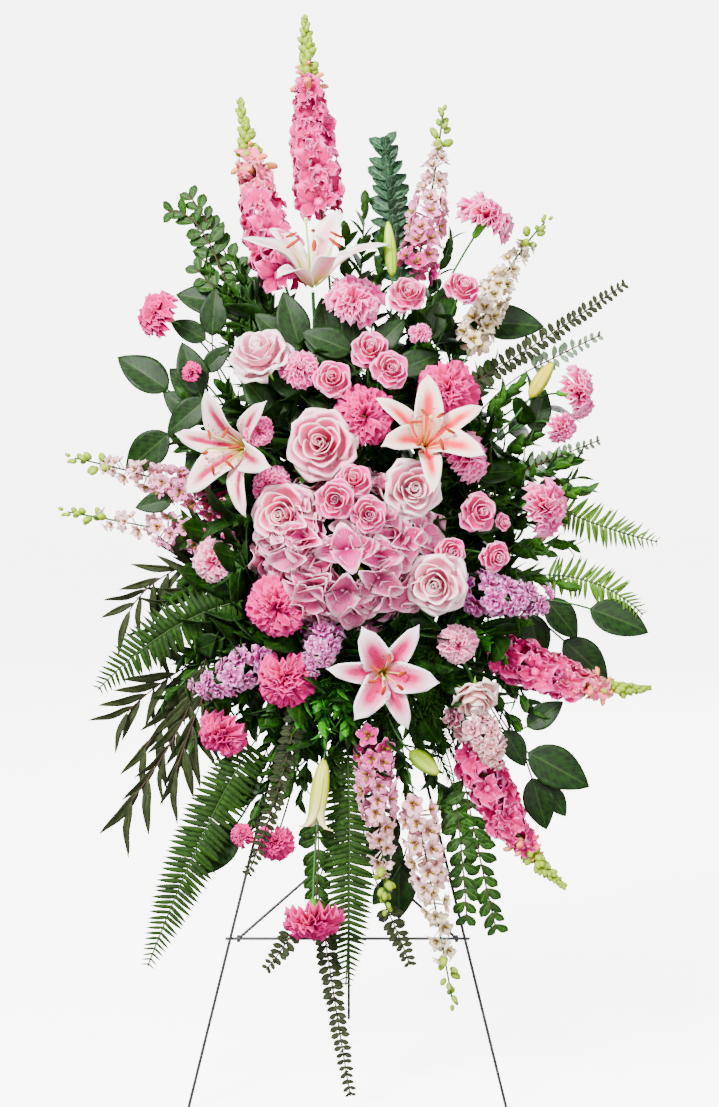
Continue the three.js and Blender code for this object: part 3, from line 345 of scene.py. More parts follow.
def flower_head_tree():
    """Petals round +Z by a fixed turn, opening from the heart outwards."""
    numbers = ["Turn", "First turn", "Heart open", "Outer open", "Spread", "Heart radius", "Outer radius",
               "Heart height", "Outer height", "Heart width", "Outer width", "Heart length", "Outer length",
               "Dome", "First layer", "Last layer", "Wobble"]
    inputs = {"Petal": "Object", "Finish": "Material", "Count": "Int", "Seed": "Int"}
    nodes, given = new_tree("Flower head", {**inputs, **{label: "Float" for label in numbers}})
    index = nodes.add("GeometryNodeInputIndex")
    share = index / nodes.math("MAXIMUM", given["Count"] - 1, 1.0)
    opening = share ** given["Spread"]

    def between(what, factor):
        first, last = (given[label] for label in what)
        return first + (last - first) * factor

    loose = [chance(nodes, given["Seed"], salt) * given["Wobble"] for salt in range(1, 6)]
    tilt = between(["Heart open", "Outer open"], opening) + loose[0]
    angle = given["First turn"] + index * given["Turn"] + loose[1]
    radius = between(["Heart radius", "Outer radius"], opening) + given["Dome"] * nodes.math("SINE", tilt)
    height = between(["Heart height", "Outer height"], opening * opening)
    height = height + given["Dome"] * nodes.math("COSINE", tilt)
    spot = nodes.vector(
        0 - nodes.math("SINE", angle) * radius,
        nodes.math("COSINE", angle) * radius,
        height,
    )
    points = nodes.add("GeometryNodePoints", {}, {"Count": given["Count"], "Position": spot})
    layer = between(["First layer", "Last layer"], share)
    points = kept_on(nodes, points, {"layer": layer, "tint": chance(nodes, given["Seed"], 9) + 0.5})
    swell = 1 + loose[2] * SWELL
    width = between(["Heart width", "Outer width"], share) * swell
    length = between(["Heart length", "Outer length"], share) * (1 + loose[3] * STRETCH)
    turn = nodes.add("FunctionNodeEulerToRotation", {}, {0: nodes.vector(0 - tilt, loose[4] * TWIST, angle)})
    heads = nodes.add(
        "GeometryNodeInstanceOnPoints",
        {},
        {"Points": points, "Instance": shape_of(nodes, given["Petal"]), "Rotation": turn,
         "Scale": nodes.vector(width, width, length)},
    )
    return close_tree(nodes, heads, given["Finish"])


def leafy_stem_tree():
    """Leaves or florets in rings along a path, the first ring turned from the direction Face."""
    numbers = ["From", "To", "First turn", "Turn", "Stagger", "Roll", "Droop", "Base open", "Tip open",
               "Base size", "Middle size", "Tip size", "Off", "Wobble"]
    inputs = {"Path": "Object", "Leaf": "Object", "Finish": "Material", "Face": "Vector", "Rings": "Int",
              "Per ring": "Int", "Seed": "Int"}
    nodes, given = new_tree("Leafy stem", {**inputs, **{label: "Float" for label in numbers}})
    index = nodes.add("GeometryNodeInputIndex")
    ring = nodes.math("FLOOR", index / given["Per ring"])
    which = index - ring * given["Per ring"]
    share = (ring + 0.5 + which * given["Stagger"]) / given["Rings"]
    factor = given["From"] + (given["To"] - given["From"]) * share
    path = {"Curves": shape_of(nodes, given["Path"]), "Factor": factor}
    spot = nodes.add("GeometryNodeSampleCurve", {"mode": "FACTOR"}, path, output=1)
    onward = nodes.add("GeometryNodeSampleCurve", {"mode": "FACTOR"}, path, output=2)
    align = "FunctionNodeAlignRotationToVector"
    along = nodes.add(align, {"axis": "Z"}, {"Vector": onward})
    facing = nodes.add(align, {"axis": "Y", "pivot_axis": "Z"}, {"Rotation": along, "Vector": given["Face"]})
    loose = [chance(nodes, given["Seed"], salt) * given["Wobble"] for salt in range(1, 6)]
    angle = given["First turn"] + ring * given["Turn"] + which * (2 * math.pi) / given["Per ring"] + loose[0]
    tilt = given["Base open"] + (given["Tip open"] - given["Base open"]) * share + loose[1]
    spin = nodes.add("FunctionNodeEulerToRotation", {}, {0: nodes.vector(0 - tilt, 0.0, angle)})
    local = {"rotation_space": "LOCAL"}
    leaning = nodes.add("FunctionNodeRotateRotation", local, {"Rotation": facing, "Rotate By": spin})
    hanging = {"Rotation": leaning, "Factor": given["Droop"], "Vector": (0.0, 0.0, -1.0)}
    leaning = nodes.add(align, {"axis": "Z"}, hanging)
    roll = given["Roll"] * (1 - 2 * which) + loose[2]
    rolled = nodes.add("FunctionNodeEulerToRotation", {}, {0: nodes.vector(0.0, 0.0, roll)})
    turn = nodes.add("FunctionNodeRotateRotation", local, {"Rotation": leaning, "Rotate By": rolled})
    rest = 1 - share
    size = rest * rest * given["Base size"] + 2 * share * rest * given["Middle size"]
    size = (size + share * share * given["Tip size"]) * (1 + loose[3] * SWELL)
    outward = nodes.vector(0.0, 0.0, given["Off"])
    off = nodes.add("FunctionNodeRotateVector", {}, {"Vector": outward, "Rotation": turn})
    place_on = nodes.add("ShaderNodeVectorMath", {"operation": "ADD"}, {0: spot, 1: off})
    count = given["Rings"] * given["Per ring"]
    points = nodes.add("GeometryNodePoints", {}, {"Count": count, "Position": place_on})
    points = kept_on(nodes, points, {"layer": share, "tint": chance(nodes, given["Seed"], 9) + 0.5})
    leaves = nodes.add(
        "GeometryNodeInstanceOnPoints",
        {},
        {"Points": points, "Instance": shape_of(nodes, given["Leaf"]), "Rotation": turn,
         "Scale": nodes.vector(size, size, size)},
    )
    return close_tree(nodes, leaves, given["Finish"])


def rod_tree():
    """A round rod of constant thickness along a path, closed at both ends."""
    inputs = {"Path": "Object", "Finish": "Material", "Radius": "Float", "Sides": "Int"}
    nodes, given = new_tree("Rod", inputs)
    round_section = nodes.add(
        "GeometryNodeCurvePrimitiveCircle", {}, {"Resolution": given["Sides"], "Radius": given["Radius"]}
    )
    swept = nodes.add(
        "GeometryNodeCurveToMesh",
        {},
        {"Curve": shape_of(nodes, given["Path"]), "Profile Curve": round_section, "Fill Caps": True},
    )
    return close_tree(nodes, swept, given["Finish"])


FLOWER_HEAD = flower_head_tree()
LEAFY_STEM = leafy_stem_tree()
ROD = rod_tree()


def grown(tree, **values):
    """The plain mesh that a tree makes; an input is named with _ for a space."""
    holder = bpy.data.objects.new("grown", bpy.data.meshes.new("grown"))
    bpy.context.collection.objects.link(holder)
    modifier = holder.modifiers.new("tree", "NODES")
    modifier.node_group = tree
    for label, value in values.items():
        socket = tree.interface.items_tree[label.replace("_", " ").capitalize()]
        modifier[socket.identifier] = value
    depsgraph = bpy.context.evaluated_depsgraph_get()
    mesh = bpy.data.meshes.new_from_object(holder.evaluated_get(depsgraph), depsgraph=depsgraph)
    bpy.data.objects.remove(holder)
    return mesh


def path_object(points):
    """A curve through points, for the trees to follow."""
    curve = bpy.data.curves.new("path", "CURVE")
    curve.dimensions = "3D"
    spline = curve.splines.new("POLY")
    spline.points.add(len(points) - 1)
    for spot, point in zip(spline.points, points):
        spot.co = (*point, 1)
    thing = bpy.data.objects.new("path", curve)
    bpy.context.collection.objects.link(thing)
    thing.hide_render = True
    templates.append(thing)
    return thing


print("trees", [tree.name for tree in bpy.data.node_groups])

# %% [markdown]
# A node's pieces are joined into one mesh, named for the bunch, which rides on the easel and stands for its
# CAD node. Most pieces come from tables that give, for each node, the places of its blooms or twigs, so one
# short function goes through a table.

# %% Joining and riding
SLOTS = {part["node"]: part["material_slot"] for part in frame["record"]["subparts"]}
made = {}


def piece(name, meshes, nodes=()):
    """One object from many meshes, which rides on the easel and stands for CAD nodes."""
    things = []
    for mesh in meshes:
        thing = bpy.data.objects.new(name, mesh)
        bpy.context.collection.objects.link(thing)
        things.append(thing)
    whole = things[0]
    if len(things) > 1:
        with bpy.context.temp_override(active_object=whole, object=whole, selected_editable_objects=things):
            bpy.ops.object.join()
    whole.name = whole.data.name = name
    whole.data.shade_smooth()
    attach(whole, ROOT)
    if nodes:
        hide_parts(*nodes)
    made[name] = sum(len(face.vertices) - 2 for face in whole.data.polygons)


def bunches(table, ending, build):
    """One piece for each node of a table, of what build makes from each of the node's entries."""
    for name, entries in table.items():
        meshes = []
        for k, entry in enumerate(entries):
            meshes += build(name, k, entry)
        piece(name + ending, meshes, [name])
    print("triangles so far", sum(made.values()))


print("material slots", sorted(set(SLOTS.values())))

# %% [markdown]
# Real petals are never one colour: they are deeper in the heart, paler on the rim and drawn with fine veins
# from base to tip. One function makes every petal finish. It reads the petal's own UV map for where a point
# lies, and two stored numbers: the petal's layer in the bloom, and a random tint.

# %% Finishes of petals
PETAL_ROUGHNESS = 0.65


def new_finish(name, roughness=0.5, **constants):
    """The nodes of a new material; a constant is named as its socket, with _ for a space."""
    material = bpy.data.materials.new(name)
    material.use_nodes = True
    nodes = Nodes(material.node_tree)
    nodes.material = material
    nodes.shader = material.node_tree.nodes["Principled BSDF"]
    nodes.shader.inputs["Roughness"].default_value = roughness
    for label, value in constants.items():
        nodes.shader.inputs[label.replace("_", " ").title().replace("Ior", "IOR")].default_value = value
    return nodes


def measured(nodes):
    """How far across, from the middle to the rim, and along a petal a point lies, its layer and its tint."""
    uv = nodes.add("ShaderNodeUVMap", {"uv_map": "petal"})
    across = nodes.add("ShaderNodeSeparateXYZ", {}, {0: uv}, output=0)
    along = nodes.add("ShaderNodeSeparateXYZ", {}, {0: uv}, output=1)
    layer = nodes.add("ShaderNodeAttribute", {"attribute_name": "layer"}, output=2)
    tint = nodes.add("ShaderNodeAttribute", {"attribute_name": "tint"}, output=2)
    return across, along, layer, tint


def shaded(nodes, colour, tint, spread, hue=0.5):
    """The colour turned by hue, where 0.5 leaves it as it is, and up to spread darker on some petals."""
    value = 1 - spread + tint * spread
    sockets = {"Hue": hue, "Value": value, "Saturation": 1 + tint * 0.12, "Color": colour}
    return nodes.add("ShaderNodeHueSaturation", {}, sockets)


def painted(nodes, colour, height, strength, distance=0.0006):
    """Gives a finish its colour and its relief, and returns the material."""
    nodes.feed(nodes.shader.inputs["Base Color"], colour)
    bump = nodes.add("ShaderNodeBump", {}, {"Strength": strength, "Distance": distance, "Height": height})
    nodes.feed(nodes.shader.inputs["Normal"], bump)
    return nodes.material


def petal_finish(name, heart, outer, rim, base, rim_from=0.8, rim_share=0.7, base_to=0.3, vein=0.32,
                 stripe=None, stripe_to=0.8, spots=None, hue=0.475):
    """A petal's colour in the heart of the bloom and at its outside, at the rim and at the base.

    The veins take the base's colour. A stripe down the middle and spots near the base are optional.
    """
    nodes = new_finish(
        name, PETAL_ROUGHNESS, subsurface_weight=0.15, subsurface_scale=0.006, specular_ior_level=0.15
    )
    across, along, layer, tint = measured(nodes)
    side = abs(across * 2 - 1)
    colour = nodes.mix(layer, ink(heart), ink(outer))
    fine = nodes.noise(nodes.vector(across * 22, along * 1.6, tint * 9), 1.0, 3.0)
    colour = nodes.mix(nodes.smooth(fine, 0.4, 0.75) * vein, colour, ink(base))
    if stripe:
        wavy = nodes.noise(nodes.vector(across * 6, along * 5, tint * 5), 1.0)
        band = 1 - nodes.smooth(side + wavy * 0.3, 0.24, stripe_to)
        fade = nodes.smooth(along, 0.02, 0.2) * (1 - nodes.smooth(along, 0.6, 0.98))
        colour = nodes.mix(band * fade, colour, ink(stripe))
    edge = nodes.math("MAXIMUM", side, along)
    colour = nodes.mix(nodes.smooth(edge, rim_from, 1.0) * rim_share, colour, ink(rim))
    colour = nodes.mix(1 - nodes.smooth(along, 0.0, base_to), colour, ink(base))
    if spots:
        cells = nodes.vector(across * 8, along * 20, tint * 3)
        dots = nodes.add("ShaderNodeTexVoronoi", {}, {"Vector": cells, "Scale": 1.0})
        where = nodes.smooth(along, 0.08, 0.16) * (1 - nodes.smooth(along, 0.5, 0.66))
        colour = nodes.mix((1 - nodes.smooth(dots, 0.14, 0.3)) * where, colour, ink(spots))
    return painted(nodes, shaded(nodes, colour, tint, 0.2, hue), fine, 0.35)


print("the roughness of a petal is", PETAL_ROUGHNESS)

# %% [markdown]
# A leaf has a pale midrib with side veins that run forwards from it, and its green is never even. Stems,
# buds and anthers are simpler: their colour changes from the base to the tip, mottled at a fine scale.

# %% Finishes of leaves and stems
SIDE_VEINS = 9.0
VEIN_SLANT = 0.28
SPECKLE, MOTTLING = 120.0, 0.35


def leaf_finish(name, deep, light, rib, roughness, drawn=1.0):
    """A green blade with a pale midrib, side veins and a mottled face."""
    nodes = new_finish(name, roughness, specular_ior_level=0.16)
    across, along, layer, tint = measured(nodes)
    side = abs(across * 2 - 1)
    mottle = nodes.noise(nodes.vector(across * 5, along * 7, tint * 9), 1.0, 3.0)
    colour = nodes.mix(nodes.smooth(mottle, 0.3, 0.75), ink(deep), ink(light))
    wave = nodes.math("FRACT", (along - side * VEIN_SLANT) * SIDE_VEINS)
    veins = 1 - nodes.smooth(abs(wave - 0.5), 0.02, 0.12)
    colour = nodes.mix(veins * 0.2 * drawn, colour, ink(rib))
    midrib = 1 - nodes.smooth(side, 0.02, 0.09)
    colour = nodes.mix(midrib * 0.6 * drawn, colour, ink(rib))
    nodes.feed(nodes.shader.inputs["Roughness"], roughness + mottle * 0.12)
    height = mottle * 0.5 - veins * 0.4 - midrib * 0.6
    return painted(nodes, shaded(nodes, colour, tint, 0.3), height, 0.4)


def skin_finish(name, low, high, roughness=0.5):
    """A colour that changes from base to tip, mottled at a fine scale."""
    nodes = new_finish(name, roughness, specular_ior_level=0.3)
    _, along, _, tint = measured(nodes)
    where = nodes.add("ShaderNodeTexCoord", output=3)
    grain = nodes.noise(where, SPECKLE, 3.0)
    colour = nodes.mix(nodes.smooth(along + grain * MOTTLING, 0.1, 1.1), ink(low), ink(high))
    return painted(nodes, shaded(nodes, colour, tint, 0.15), grain, 0.3, 0.0005)


STEM = skin_finish("stem", "34562a", "64863f")
CALYX = skin_finish("calyx", "4c7a35", "7fa653")
BUD_GREEN = skin_finish("bud green", "5c7628", "9cac4c")
print("finishes", len(bpy.data.materials))

# %% [markdown]
# Every stem stands in a block of wet foam, and a florist pushes it in from the side that the flower is on.
# A stem here leaves the foam on the face nearest its flower, bends once, and arrives at the back of the
# bloom along the way the bloom looks.

# %% Stems from the foam
LEAN = math.atan2(198, 850)
foam_low, foam_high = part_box("foam_block")
FOAM_CENTRE = (foam_low + foam_high) / 2
FOAM_AXES = [
    Vector((1, 0, 0)),
    Vector((0, math.sin(LEAN), math.cos(LEAN))),
    Vector((0, -math.cos(LEAN), math.sin(LEAN))),
]
FOAM_HALF = [75 * MM, 110 * MM, 40 * MM]
FOAM_EDGE = 9 * MM
STEM_IN_FOAM = 22 * MM
STEM_R = 2.4 * MM
THIN_STEM_R = 1.5 * MM
STEM_SIDES = 6
# How far a stem swings out from the foam's face, and the shares of its span that its two bends take
OUTWARD, LEAVING, ARRIVING = 0.8, 0.3, 0.35


def bezier(a, b, c, d, steps=12):
    spots = []
    for k in range(steps + 1):
        t = k / steps
        spots.append((1 - t) ** 3 * a + 3 * t * (1 - t) ** 2 * b + 3 * t * t * (1 - t) * c + t**3 * d)
    return spots


def through(first, middle, last, steps=14):
    """Points of a smooth curve through three."""
    spots = []
    for k in range(steps + 1):
        t = k / steps
        spots.append(first * (1 - t) * (1 - 2 * t) + middle * 4 * t * (1 - t) + last * t * (2 * t - 1))
    return spots


def stem_points(target, arrive):
    """A stem from inside the foam to a target, which it reaches in the direction arrive."""
    local = [axis.dot(target - FOAM_CENTRE) for axis in FOAM_AXES]
    reach = [abs(value) / half for value, half in zip(local, FOAM_HALF)]
    face = reach.index(max(reach))
    spot = FOAM_CENTRE.copy()
    for k, (axis, value) in enumerate(zip(FOAM_AXES, local)):
        most = FOAM_HALF[k] - (0 if k == face else FOAM_EDGE)
        spot += axis * max(-most, min(most, value / reach[face]))
    normal = FOAM_AXES[face] * math.copysign(1, local[face])
    span = (target - spot).length
    away = ((target - spot).normalized() + normal * OUTWARD).normalized()
    inside = spot - away * STEM_IN_FOAM
    return [inside] + bezier(spot, spot + away * span * LEAVING, target - arrive * span * ARRIVING, target)


def twig_line(points):
    """A curve through three places, and the same with its stem from the foam before it."""
    curve = through(*points)
    return curve, stem_points(curve[0], (curve[1] - curve[0]).normalized()) + curve[1:]


def rod(points, radius, finish=STEM, sides=STEM_SIDES):
    return grown(ROD, path=path_object(points), finish=finish, radius=radius, sides=sides)


def facing(turn, tilt):
    """The way a bloom looks, from how far it turns to the right and tilts up, in degrees."""
    a, b = math.radians(turn), math.radians(tilt)
    return Vector((math.sin(a) * math.cos(b), -math.cos(a) * math.cos(b), math.sin(b)))


def head_matrix(centre, way, size):
    """Moves a unit head, which looks up +Z with its top at +Y, to its place in the spray."""
    side = Vector((0, 0, 1)).cross(way).normalized()
    spin = Matrix((side, way.cross(side), way)).transposed().to_4x4()
    return Matrix.Translation(centre) @ spin @ Matrix.Scale(size, 4)


def set_at(mesh, matrix):
    mesh.transform(matrix)
    return mesh


print("foam centre", [round(v, 3) for v in FOAM_CENTRE])

# %% [markdown]
# A bloom is made of whorls: petals of one kind round the axis, each turned on from the last by a fixed angle,
# with sizes that go from one value at the heart to another at the outside. It is built as a unit head that
# looks up, and is then scaled, turned to where it looks and set on its stem.

# %% Whorls and blooms


def whorl(petal, finish, count, seed=0, turn=GOLDEN, first=0.0, opens=(0.0, 0.0), spread=1.0,
          radius=(0.0, 0.0), height=(0.0, 0.0), width=(1.0, 1.0), length=(1.0, 1.0), layers=(0.0, 0.0),
          dome=0.0, wobble=0.0):
    """Petals round +Z; each pair holds a value at the heart and one at the outside."""
    return grown(
        FLOWER_HEAD, petal=petal, finish=finish, count=count, seed=seed, turn=turn, first_turn=first,
        heart_open=opens[0], outer_open=opens[1], heart_radius=radius[0], outer_radius=radius[1],
        heart_height=height[0], outer_height=height[1], heart_width=width[0], outer_width=width[1],
        heart_length=length[0], outer_length=length[1], first_layer=layers[0], last_layer=layers[1],
        spread=spread, dome=dome, wobble=wobble,
    )


def on_own_stem(heads, centre, turns, radius, below, stem_radius):
    """Unit heads at their place in the spray, and a stem that ends a share of the radius below them."""
    way = facing(*turns)
    at = head_matrix(place(*centre), way, radius * MM)
    stalk = rod(stem_points(place(*centre) - way * below * radius * MM, way), stem_radius)
    return [set_at(head, at) for head in heads] + [stalk]


print("the golden angle is", round(math.degrees(GOLDEN), 1), "degrees")

# %% [markdown]
# Outlines of petals and leaves come from a few small formulas. A petal's top edge is rounded by making it
# shorter at the sides, so that its grid of faces isn't pinched to a point. A leaf is pointed at both ends.


# %% Shapes of petals and leaves
def rose_petal(wrap, bulge, roll, corner=0.0, lean=0.0, wave=0.0):
    """A rose petal: wrapped round the heart, bulged at the back and rolled outwards at the rim."""

    def shape(u, v):
        half = 0.5 * (0.24 + 0.76 * math.sin(math.pi / 2 * min(v / 0.7, 1)) ** 0.8)
        height = v * (1 - 0.3 * abs(u) ** 2.4 + corner * (1 - abs(u)) ** 3)
        angle = (u + lean * v) * wrap
        x = half / wrap * math.sin(angle)
        y = -half / wrap * (1 - math.cos(angle)) + bulge * math.sin(math.pi * v**0.8)
        curl = max(v - 0.66, 0) / 0.34
        y += roll * curl**2 * (0.75 + 0.6 * u * u) + wave * math.sin(6 * u + 1) * v**3
        height -= roll * 0.5 * curl**3
        return x, y, height

    return shape


def frilled_petal(teeth, ruffle, turns, claw=0.08, spread=0.5):
    """A fan with a narrow claw and a ragged, ruffled edge, as on a carnation."""

    def shape(u, v):
        half = claw + (spread - claw) * v**1.1
        ragged = teeth * math.cos(u * 5 * math.pi) * v**4
        x = half * math.sin(u * 1.1) / math.sin(1.1)
        height = v * (1 - 0.2 * u * u) + ragged
        y = ruffle * math.sin(u * turns + 1.3) * v**1.5 - 0.1 * math.sin(math.pi * v) + 0.12 * v * v
        return x, y, height

    return shape


def oval_petal(width, widest=0.6, wave=0.0, curve=0.0, cup=0.0, blunt=0.25, crest=4.5):
    """A simple petal or sepal with a rounded top."""
    power = math.log(0.5) / math.log(widest)

    def shape(u, v):
        half = width / 2 * (0.1 + 0.9 * math.sin(math.pi * min(v**power, 0.72)))
        height = v * (1 - blunt * abs(u) ** 2.2)
        y = curve * v * v - cup * u * u * half + wave * math.sin(crest * u + 2.5 * v) * v
        return half * u, y, height

    return shape


def leaf(width, widest=0.45, droop=0.15, fold=0.25, wave=0.0, full=1.0, foot=0.0):
    """A leaf folded along its midrib and pointed at both ends: rounder where full is below 1, and with a
    broad base where foot is above 0."""
    power = math.log(0.5) / math.log(widest)

    def shape(u, v):
        bow = max(math.sin(math.pi * min(v**power, 1)), 0.0006) ** full
        half = width / 2 * max(bow, foot * (1 - v) ** 3) + 0.002
        y = droop * v * v - fold * abs(u) * half + wave * math.sin(9 * v) * abs(u)
        return half * u, y, v

    return shape


print("the tip of a leaf is at", leaf(0.5)(0, 1))

# %% [markdown]
# Standard roses and spray roses. A rose opens from a tight heart: the inner petals wrap round each other,
# the middle ones stand as open cups, and the outer ones lean back with their rims rolled under. Three
# kinds of petal, each spun by the golden angle, make that. The hip and five sepals close the back.

# %% Roses
ROSE_PINK = petal_finish(
    "rose pink", "ee5c84", "feb4c6", "ffece8", "f47c9a", rim_from=0.72, rim_share=0.85
)
ROSE_PALE = petal_finish(
    "rose pale", "f894aa", "ffd4da", "fff4f0", "f8a4b2", rim_from=0.68, rim_share=0.85
)
ROSE_PEACH = petal_finish(
    "rose peach", "f0b8a8", "fbe0d6", "fff6ee", "e8b098", rim_from=0.55, rim_share=0.8
)
SPRAY_PINK = petal_finish(
    "spray rose pink", "dc3068", "f480a4", "fed0dc", "d43c6c", rim_from=0.78, rim_share=0.85
)
ROSE_HEART = template("rose heart petal", sheet(rose_petal(1.45, 0.1, 0.06, 0.0, 0.2, 0.015), 8, 5))
ROSE_MIDDLE = template("rose middle petal", sheet(rose_petal(1.1, 0.17, 0.14, 0.02, 0.12, 0.025), 8, 6))
ROSE_OUTER = template("rose outer petal", sheet(rose_petal(0.8, 0.22, 0.26, 0.06, 0.1, 0.05), 8, 7))
SEPAL = template("sepal", sheet(leaf(0.28, 0.3, 0.3, 0.3), 2, 4))
HIP_LINE = [[0, -0.75], [0.07, -0.72], [0.16, -0.62], [0.2, -0.5], [0.12, -0.44], [0, -0.42]]
HIP = template("hip", turned(HIP_LINE, 8))
LARGEST_SPRAY_ROSE = 30


def rose(centre, turns, radius, seed, finish, counts=(9, 8, 9)):
    """A rose of a radius in millimetres, with the counts of its heart, middle and outer petals."""
    heads = [
        whorl(ROSE_HEART, finish, counts[0], seed, first=seed, opens=(0.02, 0.16), spread=1.1,
              radius=(0.0, 0.04), height=(-0.48, -0.5), width=(0.24, 0.66), length=(0.88, 0.96),
              layers=(0.0, 0.35), wobble=0.1),
        whorl(ROSE_MIDDLE, finish, counts[1], seed + 7, first=seed + 1.0, opens=(0.2, 0.62),
              radius=(0.06, 0.1), height=(-0.5, -0.5), width=(0.78, 1.0), length=(0.96, 0.98),
              layers=(0.35, 0.7), wobble=0.12),
        whorl(ROSE_OUTER, finish, counts[2], seed + 13, first=seed + 2.0, opens=(0.68, 1.2), spread=1.1,
              radius=(0.1, 0.12), height=(-0.5, -0.5), width=(1.12, 1.26), length=(0.96, 0.94),
              layers=(0.75, 1.0), wobble=0.16),
        whorl(SEPAL, CALYX, 5, seed, 2 * math.pi / 5, opens=(1.75, 1.9), radius=(0.08, 0.08),
              height=(-0.5, -0.5), width=(0.62, 0.62), length=(0.62, 0.62), wobble=0.2),
        whorl(HIP, CALYX, 1),
    ]
    stem_radius = STEM_R if radius > LARGEST_SPRAY_ROSE else THIN_STEM_R
    return on_own_stem(heads, centre, turns, radius, 0.6, stem_radius)


print("an outer rose petal has", len(ROSE_OUTER.data.polygons), "faces")

# %% [markdown]
# Each entry of a flower table is a place in millimetres, how far the bloom turns to the right and tilts up in
# degrees, and its radius. The same spots are the middles of the blooms in the packed model.

# %% Where the roses stand
ROSES = {
    "roses_left": [[[-34, -55, 885], [-8, 8], 50], [[-84, -45, 792], [-14, 2], 45]],
    "roses_right": [[[85, -55, 827], [12, 5], 42], [[113, -50, 703], [-10, -5], 44]],
    "rose_upper_left": [[[-115, 5, 1003], [-15, 42], 44]],
    "rose_low": [[[167, 0, 543], [5, -48], 34]],
}
ROSE_TONES = {"rose_low": ROSE_PEACH, "rose_upper_left": ROSE_PALE, "roses_right": ROSE_PALE}
SPRAY_ROSES = {
    "spray_roses_centre": [
        [[-15, -85, 814], [-5, 5], 28],
        [[28, -85, 795], [5, 5], 26],
        [[9, -70, 840], [0, 25], 25],
    ],
    "spray_roses_top": [
        [[30, -14, 1006], [0, 25], 27],
        [[56, -36, 979], [10, 15], 27],
        [[-19, -25, 967], [-5, 15], 27],
    ],
    "spray_roses_right": [
        [[172, -30, 795], [25, 10], 28],
        [[203, -15, 781], [40, 10], 13],
        [[135, -40, 744], [15, 0], 21],
        [[194, -20, 736], [25, -5], 22],
    ],
    "spray_roses_high": [[[79, 20, 1078], [5, 30], 27], [[151, 30, 1086], [15, 35], 26]],
}
FEW_PETALS = (7, 6, 7)

bunches(ROSES, "_blooms", lambda name, k, spot: rose(*spot, 3 + 5 * k, ROSE_TONES.get(name, ROSE_PINK)))
bunches(SPRAY_ROSES, "_blooms", lambda name, k, spot: rose(*spot, 11 + 4 * k, SPRAY_PINK, FEW_PETALS))

# %% [markdown]
# Carnations. Some forty ragged petals crowd out of a narrow green calyx, so the bloom is a ruffled dome
# with no visible heart. One frilled fan, opened from upright in the middle to flat at the outside, makes it.

# %% Carnations
CARNATION_PINK = petal_finish(
    "carnation pink", "dc4078", "e45c8c", "fcb8cc", "a42050", rim_from=0.82, rim_share=0.9, base_to=0.6
)
CARNATION_HOT = petal_finish(
    "carnation hot pink", "bc1450", "d01e5c", "f07ca0", "800838", rim_from=0.84, rim_share=0.8, base_to=0.62
)
CARNATION_PALE = petal_finish(
    "carnation pale", "da708a", "e4889c", "fcd0d4", "b44c64", rim_from=0.78, rim_share=0.85, base_to=0.55
)
FRILL = template("frilled petal", sheet(frilled_petal(0.04, 0.2, 8.5), 12, 3))
CUP_LINE = [
    [0, -1.02], [0.09, -1.0], [0.13, -0.9], [0.15, -0.6], [0.19, -0.38], [0.22, -0.3], [0.1, -0.28],
    [0, -0.28],
]
CARNATION_CUP = template("carnation cup", turned(CUP_LINE, 8))
LARGEST_MINI = 22


def carnation(centre, turns, radius, seed, finish):
    heads = [
        whorl(FRILL, finish, 34 if radius > LARGEST_MINI else 24, seed, opens=(0.05, 1.7), spread=0.8,
              radius=(0.02, 0.1), height=(-0.36, -0.22), width=(0.62, 0.92), length=(0.74, 0.95),
              layers=(0.0, 1.0), wobble=0.75),
        whorl(CARNATION_CUP, CALYX, 1),
    ]
    return on_own_stem(heads, centre, turns, radius, 0.9, THIN_STEM_R)


CARNATIONS = {
    "carnations_upper": [[[23, -35, 920], [5, 10], 39], [[131, -15, 951], [10, 5], 40]],
    "carnations_left": [[[-92, -35, 671], [-10, -5], 40], [[-81, -15, 573], [-5, -15], 38]],
    "carnations_mid_right": [[[160, 0, 866], [45, 10], 36], [[266, 40, 796], [60, 0], 40]],
    "carnation_top": [[[8, 20, 1071], [0, 35], 38]],
    "carnation_high_right": [[[188, 90, 1183], [50, 50], 40]],
    "carnation_pale_left": [[[-178, 30, 725], [-20, 0], 29]],
    "carnation_pale_right": [[[144, -15, 620], [10, -5], 26]],
    "carnation_low_left": [[[-169, 30, 492], [-35, -35], 34]],
    "carnations_far_left": [[[-257, 77, 1052], [-60, 20], 32], [[-207, 60, 975], [-30, 20], 14]],
    "carnations_right": [[[310, 60, 946], [65, 0], 36], [[285, 50, 898], [40, -20], 22]],
    "carnations_low": [
        [[-45, -25, 252], [0, -60], 38],
        [[-97, 15, 352], [-10, -20], 26],
        [[-142, 30, 361], [-40, 0], 17],
    ],
    "mini_carnations": [
        [[-114, -45, 900], [-10, 10], 20],
        [[-101, -10, 830], [-20, 10], 26],
        [[-62, -5, 981], [-10, 20], 26],
        [[95, 5, 1026], [10, 30], 15],
    ],
}
HOT = ["carnations_left", "carnation_low_left", "carnations_low", "carnations_far_left", "carnations_upper"]


def carnation_tone(name):
    if name in HOT:
        return CARNATION_HOT
    return CARNATION_PALE if "pale" in name else CARNATION_PINK


bunches(CARNATIONS, "_blooms", lambda name, k, spot: carnation(*spot, 2 + 3 * k, carnation_tone(name)))

# %% [markdown]
# Oriental lilies. Six long petals open from one throat and curl back at the tip, three broad ones over
# three narrow ones, and six filaments with rust-coloured anthers stand round a green pistil.

# %% Lilies


